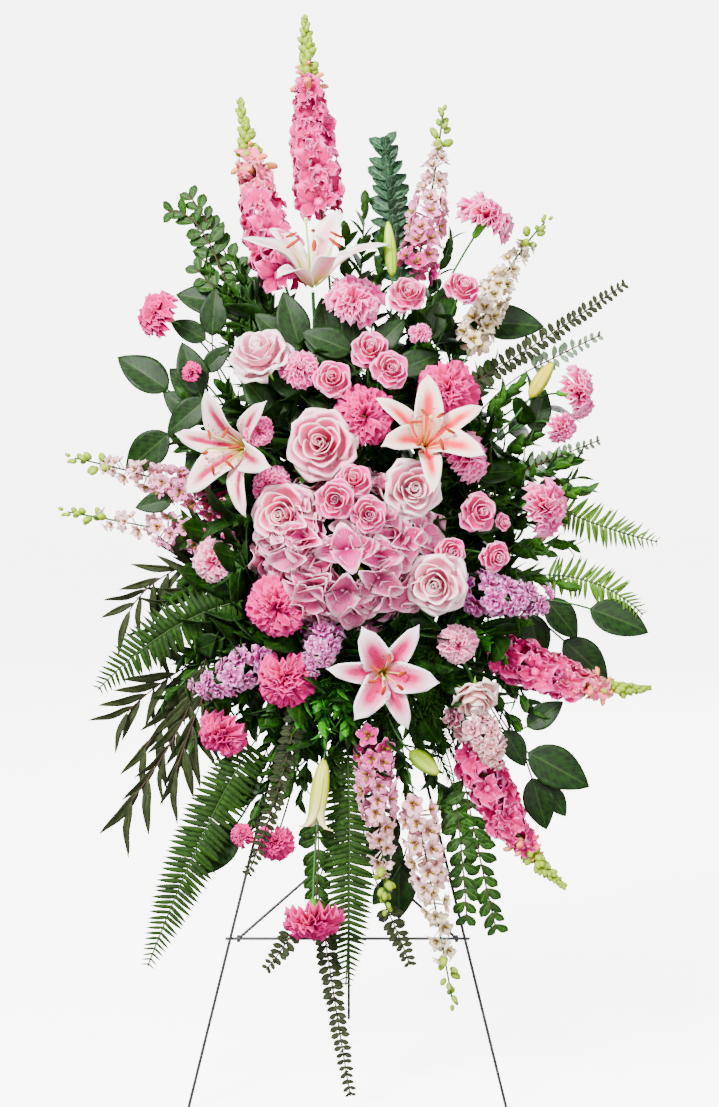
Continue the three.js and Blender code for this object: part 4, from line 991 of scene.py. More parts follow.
def lily_petal(width, curl, wave, steps=24):
    """A long petal that rises cupped from the throat, then bends out and curls back towards its tip."""
    line = [(0.0, 0.0)]
    for k in range(steps):
        bend = curl * ((k + 0.5) / steps) ** 2 - 0.25
        line.append((line[-1][0] + math.sin(bend) / steps, line[-1][1] + math.cos(bend) / steps))

    def shape(u, v):
        belly = 0.16 + 0.84 * math.sin(math.pi * v**0.85) ** 0.8
        half = width / 2 * belly * (1 - 0.93 * max(v - 0.86, 0) / 0.14)
        out, up = line[round(v * steps)]
        ruffle = wave * math.sin(10 * v) * u * u
        return half * u, out - 0.35 * abs(u) * half + ruffle, up

    return shape


LILY_PINK = petal_finish(
    "lily pink", "f49cb4", "f49cb4", "fffafa", "b8b050", rim_from=0.6, base_to=0.2, rim_share=0.95,
    stripe="c81450", spots="84102c"
)
LILY_LEFT = petal_finish(
    "lily red stripe", "fae0dc", "fae0dc", "fffaf4", "c8b468", rim_from=0.7, rim_share=0.9,
    stripe="b00c34", stripe_to=0.62, spots="801028"
)
LILY_CREAM = petal_finish(
    "lily cream", "fbe6d6", "fbe6d6", "fffaf2", "e88c50", rim_from=0.6, stripe="f08c68", spots="b83818"
)
LILY_WHITE = petal_finish(
    "lily white", "fbf2ec", "fbf2ec", "fffefc", "d4d88c", base_to=0.4, rim_from=0.6, stripe="f6c4c4"
)
FILAMENT = skin_finish("filament", "cfd98a", "dfe6a8")
ANTHER = skin_finish("anther", "84341a", "a85024", 0.8)
INNER = template("lily inner petal", sheet(lily_petal(0.46, 1.3, 0.05), 8, 12))
OUTER = template("lily outer petal", sheet(lily_petal(0.33, 1.45, 0.03), 6, 12))
THREAD = [[0, 0], [0.012, 0.01], [0.01, 0.5], [0.008, 0.97], [0, 0.98]]
PISTIL = [[0, 0], [0.02, 0.02], [0.014, 0.5], [0.014, 0.9], [0.032, 0.97], [0.02, 1.0], [0, 1.0]]
POLLEN = [[0, -0.1], [0.022, -0.08], [0.032, 0], [0.022, 0.08], [0, 0.1]]
THREADS = template("filament", turned(THREAD, 5))
STYLE = template("pistil", turned(PISTIL, 6))
LYING = Matrix.Translation((0, 0, 0.98)) @ Matrix.Rotation(math.radians(80), 4, "X")
POLLEN_TIP = template("anther", moved(turned(POLLEN, 6), LYING))


def lily(centre, turns, radius, turn, finish, spread=1.0, slim=1.0):
    """An open lily: three broad petals over three narrow ones, six filaments with anthers, and the pistil."""

    def ring(shape, count, tone, first, opening, width, length, height=0.0, wobble=0.1):
        return whorl(shape, tone, count, int(radius), 2 * math.pi / count, first, (opening, opening),
                     radius=(0.03, 0.03), height=(height, height), width=(width, width),
                     length=(length, length), layers=(0.5, 0.5), wobble=wobble)

    start = math.pi / 2 - turn
    heads = [
        ring(OUTER, 3, finish, start, 0.98 * spread, 1.14 * slim, 1.14, -0.03),
        ring(INNER, 3, finish, start + math.pi / 3, 0.84 * spread, 1.12 * slim, 1.12, 0.02),
        ring(THREADS, 6, FILAMENT, start + 0.4, 0.38, 1.0, 0.66, 0.0, 0.16),
        ring(POLLEN_TIP, 6, ANTHER, start + 0.4, 0.38, 1.0, 0.66, 0.0, 0.16),
        ring(STYLE, 1, FILAMENT, start, 0.08, 1.0, 0.84),
    ]
    return on_own_stem(heads, centre, turns, radius, 0.1, STEM_R)


LILIES = {
    "lily_top": [[-45, 56, 1088], [0, 66], 108, 0.95, LILY_WHITE, 0.96, 0.66],
    "lily_left": [[-132, -5, 876], [-35, 0], 90, 0.25, LILY_LEFT, 1.0, 0.84],
    "lily_right": [[100, -15, 878], [10, 30], 88, 0.6, LILY_CREAM, 0.95, 0.84],
    "lily_low": [[46, -35, 588], [5, 0], 78, 0.1, LILY_PINK],
}
for name, spot in LILIES.items():
    piece(name + "_bloom", lily(*spot), [name])
print("triangles so far", sum(made.values()))

# %% [markdown]
# A lily bud is three long petals folded round the axis, so it has three keels and three seams between them.
# The pale one at the bottom has begun to open, and its tips curl out.

# %% Lily buds


def bud_shape(u, v):
    """A third of a closed bud: a long petal folded round the axis, with a keel along its middle."""
    half = 0.13 * math.sin(math.pi * v**0.85) ** 0.7 + 0.012
    angle = u * 1.12
    return half * math.sin(angle), half * math.cos(angle) + 0.018 * math.cos(math.pi * u), v


def parting_shape(u, v):
    """The same petal on a bud that begins to open: its tip comes free and curls out."""
    x, y, up = bud_shape(u, min(v, 0.985))
    free = max(v - 0.62, 0) / 0.38
    return x * (1 - 0.35 * free), y + 0.3 * free**2, up - 0.12 * free**3


def bud_finish(name, body, keel, tip):
    """A waxy bud petal with a darker keel down its middle and faint lines along it."""
    nodes = new_finish(name, 0.4, specular_ior_level=0.35)
    across, along, _, tint = measured(nodes)
    side = abs(across * 2 - 1)
    lines = nodes.noise(nodes.vector(across * 16, along * 1.2, tint * 7), 1.0, 3.0)
    colour = nodes.mix(nodes.smooth(along, 0.35, 1.0), ink(body), ink(tip))
    colour = nodes.mix(nodes.smooth(lines, 0.45, 0.7) * 0.35, colour, ink(keel))
    colour = nodes.mix((1 - nodes.smooth(side, 0.08, 0.42)) * 0.8, colour, ink(keel))
    return painted(nodes, shaded(nodes, colour, tint, 0.15), lines, 0.35)


BUD_YELLOW = bud_finish("lily bud yellow", "c6bc3c", "76862a", "dcd060")
BUD_LIME = bud_finish("lily bud lime", "a4bc48", "6c8c30", "ccd474")
BUD_PALE = bud_finish("lily bud pale", "c8cc70", "9cab48", "f8eccc")
BUD_SHEATH = template("bud petal", sheet(bud_shape, 6, 10, 0.02))
BUD_PARTING = template("parting bud petal", sheet(parting_shape, 6, 12, 0.02))
BUD_UNIT, BUD_WIDE = 14, 7.6


def lily_bud(base, tip, radius, finish):
    """A bud from its base to its tip, on its stem."""
    base, tip = place(*base), place(*tip)
    way = (tip - base).normalized()
    petal = BUD_PARTING if finish is BUD_PALE else BUD_SHEATH
    size = radius / BUD_UNIT
    head = whorl(petal, finish, 3, 2, 2 * math.pi / 3, width=(size, size))
    wide = Matrix.Diagonal((radius * MM * BUD_WIDE, radius * MM * BUD_WIDE, (tip - base).length, 1))
    stalk = rod(stem_points(base + way * 0.01, way), THIN_STEM_R)
    return [set_at(head, head_matrix(base, way, 1) @ wide), stalk]


LILY_BUDS = {
    "lily_buds_top": [
        [[59, 60, 1098], [53, 62, 1170], 10, BUD_LIME],
        [[241, 60, 940], [271, 65, 986], 11, BUD_YELLOW],
    ],
    "lily_buds_low": [
        [[82, 10, 477], [119, 0, 449], 12, BUD_LIME],
        [[-31, 10, 466], [-46, -5, 365], 12, BUD_PALE],
    ],
}
bunches(LILY_BUDS, "_sheaths", lambda name, k, bud: lily_bud(*bud))

# %% [markdown]
# The hydrangea is a dome of small flowers, each with four broad sepals that overlap their neighbours. The
# florets sit on a sphere's cap, so they can be spun out from its middle like the petals of any bloom.

# %% Hydrangea
# The dark mauve at the base of each sepal is painted shade where the sepals overlap; its strong veins in that
# colour are partly real veins and partly painted shade.
MAUVE = petal_finish(
    "hydrangea mauve", "d87894", "eca6b4", "fde0e4", "983c5c", rim_from=0.72, rim_share=0.75, vein=0.68,
    base_to=0.66
)
SEPAL_WAVY = sheet(oval_petal(1.16, 0.58, 0.2, 0.16, 0.4, 0.48, 3.6), 7, 4)
SEPAL_TILTS = [0.95, 1.35, 0.8, 1.25]
SEPALS = [opened(SEPAL_WAVY, tilt, math.pi / 2 * k, 0.01, size=0.54) for k, tilt in enumerate(SEPAL_TILTS)]
EYE = turned([[0, -0.02], [0.045, 0], [0.035, 0.04], [0, 0.05]], 6)
STALKLET = turned([[0, -0.9], [0.02, -0.88], [0.03, -0.05], [0, 0]], 5)
MOP_FLORET = template("hydrangea floret", *SEPALS, EYE)
MOP_STALK = template("hydrangea stalk", STALKLET)
HYDRANGEA_RADIUS = 104 * MM
STEM_PAST_MIDDLE = 30 * MM
OVAL = Matrix.Diagonal((1.06, 0.9, 1, 1))


def mop(shape, finish, count, size, sunk, seed):
    """Florets on a dome, sunk below its top by a share of its radius."""
    return whorl(shape, finish, count, seed, opens=(0.05, 1.62), spread=0.6, width=(size, size),
                 length=(size, size), layers=(0.0, 1.0), dome=1.0 - sunk, wobble=0.75)


heads = [
    mop(MOP_FLORET, MAUVE, 38, 0.62, 0.0, 4),
    mop(MOP_FLORET, MAUVE, 42, 0.62, 0.13, 9),
    mop(MOP_STALK, CALYX, 38, 0.8, 0.0, 4),
]
middle, way = place(1, 30, 741), facing(0, 2)
at = head_matrix(middle, way, HYDRANGEA_RADIUS) @ OVAL
stalk = rod(stem_points(middle + way * STEM_PAST_MIDDLE, way), STEM_R)
piece("hydrangea_florets", [set_at(head, at) for head in heads] + [stalk], ["hydrangea"])
print("triangles so far", sum(made.values()))

# %% [markdown]
# Snapdragon, larkspur and stock carry their florets up a stem, large below and small above, with buds at
# the tip. One tree sets florets round a stem; each kind has its own floret. A snapdragon's has a pouch and
# two lips, a larkspur's is an open star with a spur, and a double stock's is a ruffled rosette.

# %% Florets
LOBE = sheet(oval_petal(1.05, 0.62, 0.24, 0.35, 0.3, 0.2, 5.0), 5, 3, 0.02)
POUCH = turned([[0, -0.42], [0.1, -0.38], [0.14, -0.15], [0.16, -0.02], [0, 0.0]], 7)
UPPER_LIP = [opened(LOBE, 0.7, math.pi + side, 0.06, -0.1, 0.62) for side in (-0.5, 0.55)]
LOWER_LOBES = [(-1.2, 1.2, 0.44), (0.1, 0.6, 0.36), (1.25, 1.0, 0.4)]
LOWER_LIP = [opened(LOBE, tilt, side, 0.1, -0.04, size) for side, tilt, size in LOWER_LOBES]
DRAGON_FLORET = template("snapdragon floret", POUCH, *UPPER_LIP, *LOWER_LIP)
STAR_PETAL = sheet(oval_petal(0.8, 0.6, 0.06, -0.08, 0.1, 0.3), 3, 2, 0.02)
SMALL_PETAL = sheet(oval_petal(0.5, 0.6, 0.0, 0.1), 2, 2, 0.03)
SPUR = turned([[0, -0.75], [0.03, -0.7], [0.05, -0.2], [0.03, 0], [0, 0.01]], 5)
STAR = [opened(STAR_PETAL, 1.2, 2 * math.pi * k / 5, 0.02, size=0.5) for k in range(5)]
BEE = [opened(SMALL_PETAL, 0.6, 2 * math.pi * k / 3 + 0.5, 0.02, size=0.3) for k in range(3)]
STAR_FLORET = template("larkspur floret", *STAR, SPUR)
STAR_EYE = template("larkspur eye", *BEE)
RUFFLE = sheet(oval_petal(0.85, 0.65, 0.12, 0.1, 0.0, 0.2), 3, 2, 0.03)
OUTER_RUFFLES = [opened(RUFFLE, 1.35, 2 * math.pi * k / 5, 0.02, -0.05, 0.5) for k in range(5)]
MIDDLE_RUFFLES = [opened(RUFFLE, 0.85, 2 * math.pi * (k + 0.5) / 5, 0.02, -0.02, 0.42) for k in range(5)]
HEART_RUFFLES = [opened(RUFFLE, 0.3, 2 * math.pi * k / 3, 0.0, 0.0, 0.34) for k in range(3)]
STOCK_FLORET = template("stock floret", *OUTER_RUFFLES, *MIDDLE_RUFFLES, *HEART_RUFFLES)
BUD = template("bud", turned([[0, 0], [0.2, 0.1], [0.34, 0.42], [0.24, 0.8], [0, 1]], 6))
TUBE_LINE = [[0, 0], [0.1, 0.04], [0.14, 0.3], [0.13, 0.6], [0.17, 0.85], [0.13, 1], [0, 1]]
TUBE_BEND = 0.3
tube_corners, tube_faces, tube_uvs = turned(TUBE_LINE, 6)
tube_corners[:, 1] += TUBE_BEND * tube_corners[:, 2] ** 2
DRAGON_TUBE = template("half open snapdragon", (tube_corners, tube_faces, tube_uvs))
print("a snapdragon floret has", len(DRAGON_FLORET.data.polygons), "faces")

# %% [markdown]
# The finishes of the spikes. A snapdragon is deep pink in its throat and pale on its lips, and the hot pink
# one is much darker at the base of each lip, which is painted shade in the folds. A larkspur's star is nearly
# one colour round a brown eye, and the buds of all three are green.

# %% Finishes of the spikes
# Its very dark base colour, which its strong veins also take, is painted shade in the folds of the florets.
DRAGON_HOT = petal_finish(
    "snapdragon hot pink", "c81454", "e03070", "ffa4c0", "840c3c", base_to=0.55, rim_from=0.7, rim_share=0.75,
    vein=0.6
)
DRAGON_PEACH = petal_finish("snapdragon peach", "de5880", "f0989c", "fcd4c8", "d07c60", base_to=0.4)
STAR_WHITE = petal_finish(
    "larkspur blush", "f0bcc0", "f8dcd8", "fff4ee", "94704c", base_to=0.36, rim_share=0.4, vein=0.16
)
STAR_CREAM = petal_finish(
    "larkspur cream", "ecdcc0", "f6eed8", "fffcf0", "8c9450", base_to=0.36, rim_share=0.4, vein=0.16
)
STAR_PINK = petal_finish("larkspur pink", "d84c88", "f4b4c8", "fde4ea", "94704c", base_to=0.3, rim_share=0.4)
EYE_OLIVE = skin_finish("larkspur eye", "543820", "8c7c3c", 0.6)
TUBE_PEACH = skin_finish("half open floret", "a8b45c", "f4a898", 0.6)
STOCK_LILAC = petal_finish("stock lilac", "b4508c", "cc74a8", "f8cce4", "8c7c54", rim_from=0.66)
STOCK_BLUSH = petal_finish("stock blush", "d4889c", "ecc0bc", "fbf0e6", "94744c", rim_from=0.66)
print("finishes", len(bpy.data.materials))

# %% [markdown]
# On a stem, leaves and florets stand in rings. A few numbers say how they change along it: how far they open
# at the base and at the tip, and how large they are at the base, in the middle and at the tip. A spike is two
# or three such stretches, one above the other, each with its own floret.

# %% Spikes
VIEWER_SIDE = (0, -1, 0)
SPIKE_R = 1.9 * MM
LARKSPUR_R = 1.4 * MM


def on_stem(path, shape, finish, rings, part, opens, sizes, wobble, **values):
    """Rings of leaves or florets on a part of a path, two to a ring unless per_ring says more."""
    return grown(
        LEAFY_STEM, path=path, leaf=shape, finish=finish, face=VIEWER_SIDE, rings=rings, From=part[0],
        to=part[1], base_open=opens[0], tip_open=opens[1], base_size=sizes[0], middle_size=sizes[1],
        tip_size=sizes[2], wobble=wobble, **{"per_ring": 2, **values},
    )


def scaled(size, *shares):
    return [size * share for share in shares]


def spike_stem(points, radius):
    """The path of the spike, and its stem from the foam and on along it."""
    curve, whole = twig_line(points)
    return path_object(curve), rod(whole, radius)


def snapdragon(points, seed, low, high, count, size):
    """Open florets below, younger ones above them, a few half open, and green buds at the tip."""
    path, stalk = spike_stem(points, SPIKE_R)
    common = {"wobble": 0.6, "seed": seed, "turn": 1.05, "stagger": 0.33, "per_ring": 3}
    half = count // 2
    return [
        stalk,
        on_stem(path, DRAGON_FLORET, low, half, (0.0, 0.42), (1.5, 1.2), scaled(size, 1, 1, 0.9),
                off=size * 0.4, **common),
        on_stem(path, DRAGON_FLORET, high, half - 2, (0.43, 0.64), (1.15, 0.9), scaled(size, 0.82, 0.74, 0.6),
                off=size * 0.3, **common),
        on_stem(path, DRAGON_TUBE, TUBE_PEACH, 3, (0.6, 0.74), (1.15, 0.7), scaled(size, 0.66, 0.56, 0.34),
                **common),
        on_stem(path, BUD, BUD_GREEN, 12, (0.7, 1.0), (1.2, 0.35), scaled(size, 0.36, 0.3, 0.17),
                off=0.001, **{**common, "per_ring": 4, "stagger": 0.25}),
    ]


def larkspur(points, seed, low, high, count, size):
    """Open stars with brown eyes, smaller ones above them, and loose buds at the tip."""
    path, stalk = spike_stem(points, LARKSPUR_R)
    common = {"wobble": 0.6, "seed": seed, "turn": 2.2, "stagger": 0.5}
    meshes = [stalk]
    for shape, tone, tone_above in ((STAR_FLORET, low, high), (STAR_EYE, EYE_OLIVE, EYE_OLIVE)):
        meshes += [
            on_stem(path, shape, tone, count // 2, (0.0, 0.42), (1.4, 1.3), scaled(size, 1, 1, 0.9),
                    off=size * 0.55, **common),
            on_stem(path, shape, tone_above, count // 3, (0.42, 0.76), (1.3, 0.9),
                    scaled(size, 0.86, 0.78, 0.6), off=size * 0.4, **common),
        ]
    buds = on_stem(path, BUD, BUD_GREEN, 6, (0.74, 1.0), (1.0, 0.4), scaled(size, 0.56, 0.44, 0.3),
                   off=0.006, **common)
    return meshes + [buds]


def stock(points, seed, low, count, size):
    """Double rosettes up to the tip, which has a few green buds."""
    path, stalk = spike_stem(points, SPIKE_R)
    common = {"seed": seed, "stagger": 0.33, "per_ring": 3}
    return [
        stalk,
        on_stem(path, STOCK_FLORET, low, count // 3, (0.02, 0.93), (1.5, 0.5),
                scaled(size, 1, 0.95, 0.6), 0.5, turn=1.05, off=size * 0.5, **common),
        on_stem(path, BUD, BUD_GREEN, 3, (0.93, 0.99), (0.6, 0.2), scaled(size, 0.25, 0.2, 0.15), 0.4,
                turn=1.0, **common),
    ]


def placed(points):
    return [place(*point) for point in points]


print("the stem of a spike is", round(2 * SPIKE_R / MM, 1), "mm thick")

# %% [markdown]
# Each entry is the spike's first, middle and last place, its finish below and above, its count of florets and
# their size in metres. Stock has one finish.

# %% Where the spikes stand
SNAPDRAGONS = {
    "snapdragon_top": [
        [[[-34, 140, 1183], [-48, 165, 1312], [-58, 185, 1447]], DRAGON_HOT, DRAGON_HOT, 13, 0.05],
    ],
    "snapdragon_upper_left": [
        [[[-83, 100, 1089], [-120, 140, 1210], [-144, 165, 1334]], DRAGON_HOT, DRAGON_PEACH, 11, 0.05],
    ],
    "snapdragon_right": [
        [[[203, 60, 605], [302, 50, 564], [395, 50, 556]], DRAGON_HOT, DRAGON_PEACH, 10, 0.046],
    ],
    "snapdragon_low_right": [
        [[[165, 40, 481], [221, 20, 371], [283, 10, 300]], DRAGON_HOT, DRAGON_HOT, 11, 0.046],
    ],
}
LARKSPURS = {
    "larkspur_top": [
        [[[90, 110, 1102], [111, 140, 1203], [128, 160, 1318]], STAR_PINK, STAR_WHITE, 26, 0.034],
        [[[165, 80, 1009], [210, 110, 1102], [264, 130, 1173]], STAR_CREAM, STAR_CREAM, 28, 0.03],
    ],
    "larkspur_left": [
        [[[-163, 80, 797], [-250, 90, 830], [-364, 95, 859]], STAR_PINK, STAR_WHITE, 24, 0.032],
        [[[-150, 80, 744], [-264, 90, 767], [-374, 95, 787]], STAR_PINK, STAR_WHITE, 20, 0.03],
    ],
    "larkspur_low": [
        [[[33, 30, 496], [40, 10, 413], [51, 0, 275]], STAR_PINK, STAR_WHITE, 26, 0.034],
        [[[89, 20, 411], [109, 0, 308], [138, -10, 151]], STAR_WHITE, STAR_CREAM, 28, 0.032],
    ],
}
STOCKS = {
    "stock_left": [
        [[[-118, 45, 598], [-148, 10, 580], [-185, -10, 568]], STOCK_LILAC, 15, 0.04],
        [[[-30, 30, 640], [-33, -15, 625], [-38, -45, 605]], STOCK_LILAC, 18, 0.038],
    ],
    "stock_right": [
        [[[160, 30, 690], [200, 0, 682], [250, -5, 678]], STOCK_LILAC, 21, 0.04],
        [[[150, 40, 520], [174, 5, 505], [190, -25, 480]], STOCK_BLUSH, 18, 0.038],
    ],
}
for table, build in ((SNAPDRAGONS, snapdragon), (LARKSPURS, larkspur), (STOCKS, stock)):
    for seed, (name, spikes) in enumerate(table.items()):
        meshes = []
        for k, (points, *rest) in enumerate(spikes):
            meshes += build(placed(points), seed + k, *rest)
        piece(name + "_florets", meshes, [name])
print("triangles so far", sum(made.values()))

# %% [markdown]
# Foliage. Fern, eucalyptus, willow leaf and myrtle differ in the form of one leaf and in its green, so each
# kind has a template leaf and a finish. Leaves that are repeated hundreds of times have only a few faces.

# %% Leaves and their finishes
FERN_GREEN = leaf_finish("fern", "14220c", "2c421a", "44582a", 0.65)
PALE_GREEN = leaf_finish("pale fern", "44602c", "6c8844", "94a468", 0.6)
GREY_GREEN = leaf_finish("baby eucalyptus", "1f241b", "3c4230", "5c5c44", 0.65)
SILVER_GREEN = leaf_finish("silver eucalyptus", "5c6c5c", "8c9c88", "a8b09c", 0.65)
WILLOW_GREEN = leaf_finish("willow eucalyptus", "1c2216", "383e2a", "54563c", 0.5)
MYRTLE_GREEN = leaf_finish("myrtle", "182812", "38522a", "688050", 0.45)
MYRTLE_GREY = leaf_finish("grey myrtle", "1c2a22", "4a6250", "74886c", 0.5)
ASPARAGUS_GREEN = leaf_finish("asparagus fern", "1c3014", "3c5824", "5c7440", 0.65)
BROAD_GREEN = leaf_finish("broad leaf", "101d0a", "223c16", "4a6630", 0.45, drawn=0.6)
TWIG = skin_finish("brown twig", "3c2c24", "64483c", 0.7)
RACHIS = skin_finish("fern midrib", "2c4018", "50682c", 0.6)
LEAFLET = template("fern leaflet", sheet(leaf(0.2, 0.3, 0.12, 0.1, full=0.7, foot=0.8), 2, 4))
CURLY_LEAFLET = template("curly leaflet", sheet(leaf(0.17, 0.3, 0.35, 0.1, full=0.7, foot=0.8), 2, 4))
ROUND_LEAF = template("round leaf", sheet(leaf(0.6, 0.55, 0.1, 0.25, full=0.6), 4, 4))
LANCE_LEAF = template("lance leaf", sheet(leaf(0.17, 0.42, 0.2, 0.3, 0.02, full=0.85), 4, 8))
MYRTLE_LEAF = template("myrtle leaf", sheet(leaf(0.6, 0.58, 0.16, 0.35, full=0.7), 4, 5))
NEEDLE = template("asparagus needle", sheet(leaf(0.16, 0.45, 0.0, 0.0), 1, 2))
BROAD_LEAF = template("broad leaf", sheet(leaf(0.58, 0.42, 0.18, 0.22, 0.012, full=0.8), 8, 12))
print("a broad leaf has", len(BROAD_LEAF.data.polygons), "faces")

# %% [markdown]
# A kind of twig has one or two layers of leaves. Each layer is a row: the leaf, its finish, how many
# millimetres its rings stand apart, then how far they open, their sizes and how much they vary, as on a
# spike. A comb's leaves stand out to both sides and are rolled to lie in one plane.

# %% Kinds of twig
FLAT = math.pi / 2
COMB = {"first_turn": FLAT, "roll": FLAT}
WILLOW_COMB = {**COMB, "roll": 1.1, "stagger": 0.5}
EUCALYPTUS_COMB = {**COMB, "roll": 1.2}
SPRIG = {"per_ring": 5, "turn": 0.6}
FERN_KIND = [(LEAFLET, FERN_GREEN, 7.6, (1.45, 1.1), (0.032, 0.056, 0.01), 0.16, COMB)]
PALE_KIND = [(CURLY_LEAFLET, PALE_GREEN, 6.4, (1.3, 0.9), (0.026, 0.044, 0.008), 0.45, COMB)]
BABY_KIND = [
    (ROUND_LEAF, GREY_GREEN, 9.0, (1.3, 1.0), (0.018, 0.017, 0.009), 0.4, EUCALYPTUS_COMB),
    (ROUND_LEAF, GREY_GREEN, 14.0, (1.2, 0.9), (0.013, 0.012, 0.007), 0.5, {"first_turn": 0.4}),
]
SILVER_KIND = [(ROUND_LEAF, SILVER_GREEN, 10.0, (1.2, 0.9), (0.018, 0.016, 0.008), 0.6, EUCALYPTUS_COMB)]
WILLOW_KIND = [
    (LANCE_LEAF, WILLOW_GREEN, 36.0, (0.8, 0.3), (0.076, 0.086, 0.07), 0.6, {**WILLOW_COMB, "droop": 0.42}),
]
RAISED_WILLOW_KIND = [
    (LANCE_LEAF, WILLOW_GREEN, 26.0, (0.9, 0.4), (0.076, 0.07, 0.06), 0.6, {**WILLOW_COMB, "droop": 0.05}),
]
MYRTLE_KIND = [
    (MYRTLE_LEAF, MYRTLE_GREEN, 17.0, (1.05, 0.6), (0.03, 0.03, 0.02), 0.5, {**COMB, "roll": 1.25}),
]
INNER_LEAVES = {"first_turn": 0.2, "stagger": 0.5}
GREY_MYRTLE_KIND = [
    (MYRTLE_LEAF, MYRTLE_GREY, 14.0, (0.95, 0.55), (0.036, 0.04, 0.028), 0.4, {**COMB, "roll": 1.0}),
    (MYRTLE_LEAF, MYRTLE_GREY, 14.0, (0.75, 0.45), (0.028, 0.03, 0.02), 0.5, INNER_LEAVES),
]
SPRIG_KIND = [(NEEDLE, ASPARAGUS_GREEN, 2.2, (1.3, 0.6), (0.022, 0.026, 0.008), 0.6, SPRIG)]
GREEN_STEMS = [FERN_KIND, PALE_KIND, SPRIG_KIND]
print("kinds with green stems", len(GREEN_STEMS))

# %% [markdown]
# Fern, eucalyptus, willow leaf and myrtle reach out past the blooms and give the spray its outline. Each
# entry is a twig's first, middle and last place. A twig of another kind than its bunch names it last.

# %% Leafy stems
LEAFY = {
    "fern_left": [FERN_KIND, [[[-135, 40, 674], [-236, 60, 632], [-333, 70, 551]]]],
    "fern_low_left": [FERN_KIND, [[[-123, 50, 485], [-191, 35, 363], [-265, 20, 188]]]],
    "fern_low": [FERN_KIND, [[[-1, 40, 488], [3, 20, 344], [-2, 10, 165]]]],
    "ferns_right": [
        PALE_KIND,
        [
            [[257, 90, 803], [338, 95, 769], [415, 95, 747]],
            [[263, 80, 704], [337, 80, 690], [394, 75, 651]],
        ],
    ],
    "eucalyptus_right": [
        BABY_KIND,
        [
            [[163, 90, 956], [271, 120, 1023], [373, 135, 1092]],
            [[245, 130, 976], [293, 135, 1000], [340, 135, 1023], SILVER_KIND],
            [[202, 70, 831], [270, 90, 857], [337, 100, 883], SILVER_KIND],
        ],
    ],
    "eucalyptus_low": [
        BABY_KIND,
        [
            [[-39, 46, 281], [-16, 10, 139], [4, -12, 22]],
            [[-63, 40, 245], [-85, 30, 212], [-108, 20, 183]],
            [[50, 20, 271], [68, 15, 230], [83, 10, 192]],
            [[-62, 10, 546], [-95, 0, 415], [-132, 10, 313]],
        ],
    ],
    "willow_left": [
        WILLOW_KIND,
        [
            [[-145, 118, 731], [-238, 126, 704], [-295, 128, 652], RAISED_WILLOW_KIND],
            [[-152, 112, 714], [-213, 118, 673], [-254, 122, 612], RAISED_WILLOW_KIND],
            [[-178, 96, 601], [-246, 104, 559], [-297, 106, 516], RAISED_WILLOW_KIND],
            [[-178, 92, 615], [-228, 98, 533], [-273, 96, 468]],
            [[-186, 78, 603], [-224, 76, 502], [-289, 68, 402]],
            [[-167, 74, 597], [-200, 72, 523], [-229, 66, 443]],
        ],
    ],
    "myrtle_top": [GREY_MYRTLE_KIND, [[[70, 130, 1083], [57, 150, 1204], [50, 155, 1277]]]],
    "myrtle_left": [
        MYRTLE_KIND,
        [
            [[-131, 130, 1070], [-178, 140, 1157], [-213, 145, 1210]],
            [[-174, 130, 1120], [-205, 140, 1174], [-241, 145, 1188]],
            [[-146, 110, 1056], [-177, 120, 1085], [-203, 125, 1112]],
        ],
    ],
    "myrtle_low": [
        MYRTLE_KIND,
        [
            [[143, 40, 421], [152, 20, 328], [158, 12, 252]],
            [[152, 38, 448], [176, 26, 330], [197, 16, 238]],
            [[-39, 52, 383], [-39, 44, 318], [-42, 36, 268]],
        ],
    ],
    "asparagus_low": [
        SPRIG_KIND,
        [
            [[92, 45, 590], [104, 34, 552], [118, 26, 505]],
            [[112, 50, 580], [134, 38, 545], [152, 30, 500]],
        ],
    ],
}
TWIG_R = 1.1 * MM
FEWEST_RINGS = 3


def leafy(points, kind, seed):
    """The twig's stem and its layers of leaves."""
    curve, whole = twig_line(points)
    length = sum((b - a).length for a, b in zip(curve, curve[1:]))
    path = path_object(curve)
    meshes = [rod(whole, TWIG_R, RACHIS if kind in GREEN_STEMS else TWIG)]
    for shape, finish, spacing, opens, sizes, wobble, more in kind:
        rings = max(FEWEST_RINGS, round(length / (spacing * MM)))
        more = {**more, "seed": seed}
        meshes.append(on_stem(path, shape, finish, rings, (0.02, 1.0), opens, sizes, wobble, **more))
    return meshes


for name, (kind, twigs) in LEAFY.items():
    meshes = []
    for k, (first, middle, last, *own) in enumerate(twigs):
        meshes += leafy(placed([first, middle, last]), own[0] if own else kind, 5 + k)
    piece(name + "_leaves", meshes, [name])
print("triangles so far", sum(made.values()))

# %% [markdown]
# Broad glossy leaves stand singly or in pairs at the edge of the spray, where each one can be seen. So each
# is given one by one: from its base, along a direction, with its upper side to the front.

# %% Broad leaves
BROAD = {
    "salal_left": [
        [[-150, 100, 930], [-205, 112, 934], [-242, 118, 950]],
        [[-150, 95, 905], [-205, 100, 905], [-240, 105, 890]],
    ],
    "salal_top": [
        [[-64, 120, 1029], [-120, 120, 1050], [-150, 120, 1060]],
        [[60, 130, 1020], [130, 130, 1036], [180, 125, 1040]],
    ],
    "salal_right": [
        [[210, 70, 680], [284, 80, 668], [325, 80, 658]],
        [[215, 104, 672], [258, 106, 640], [292, 106, 612]],
    ],
    "salal_low": [
        [[-95, 60, 470], [-125, 60, 410], [-150, 58, 370]],
        [[60, 45, 420], [66, 42, 370], [68, 38, 330]],
    ],
}
BROAD_LENGTH = 84 * MM
# Each leaf of a twig: its share of the way along, how far it swings to the side, and its scale
BROAD_ON_TWIG = [[0.35, 0.8, 0.85], [0.97, 0.0, 1.0]]


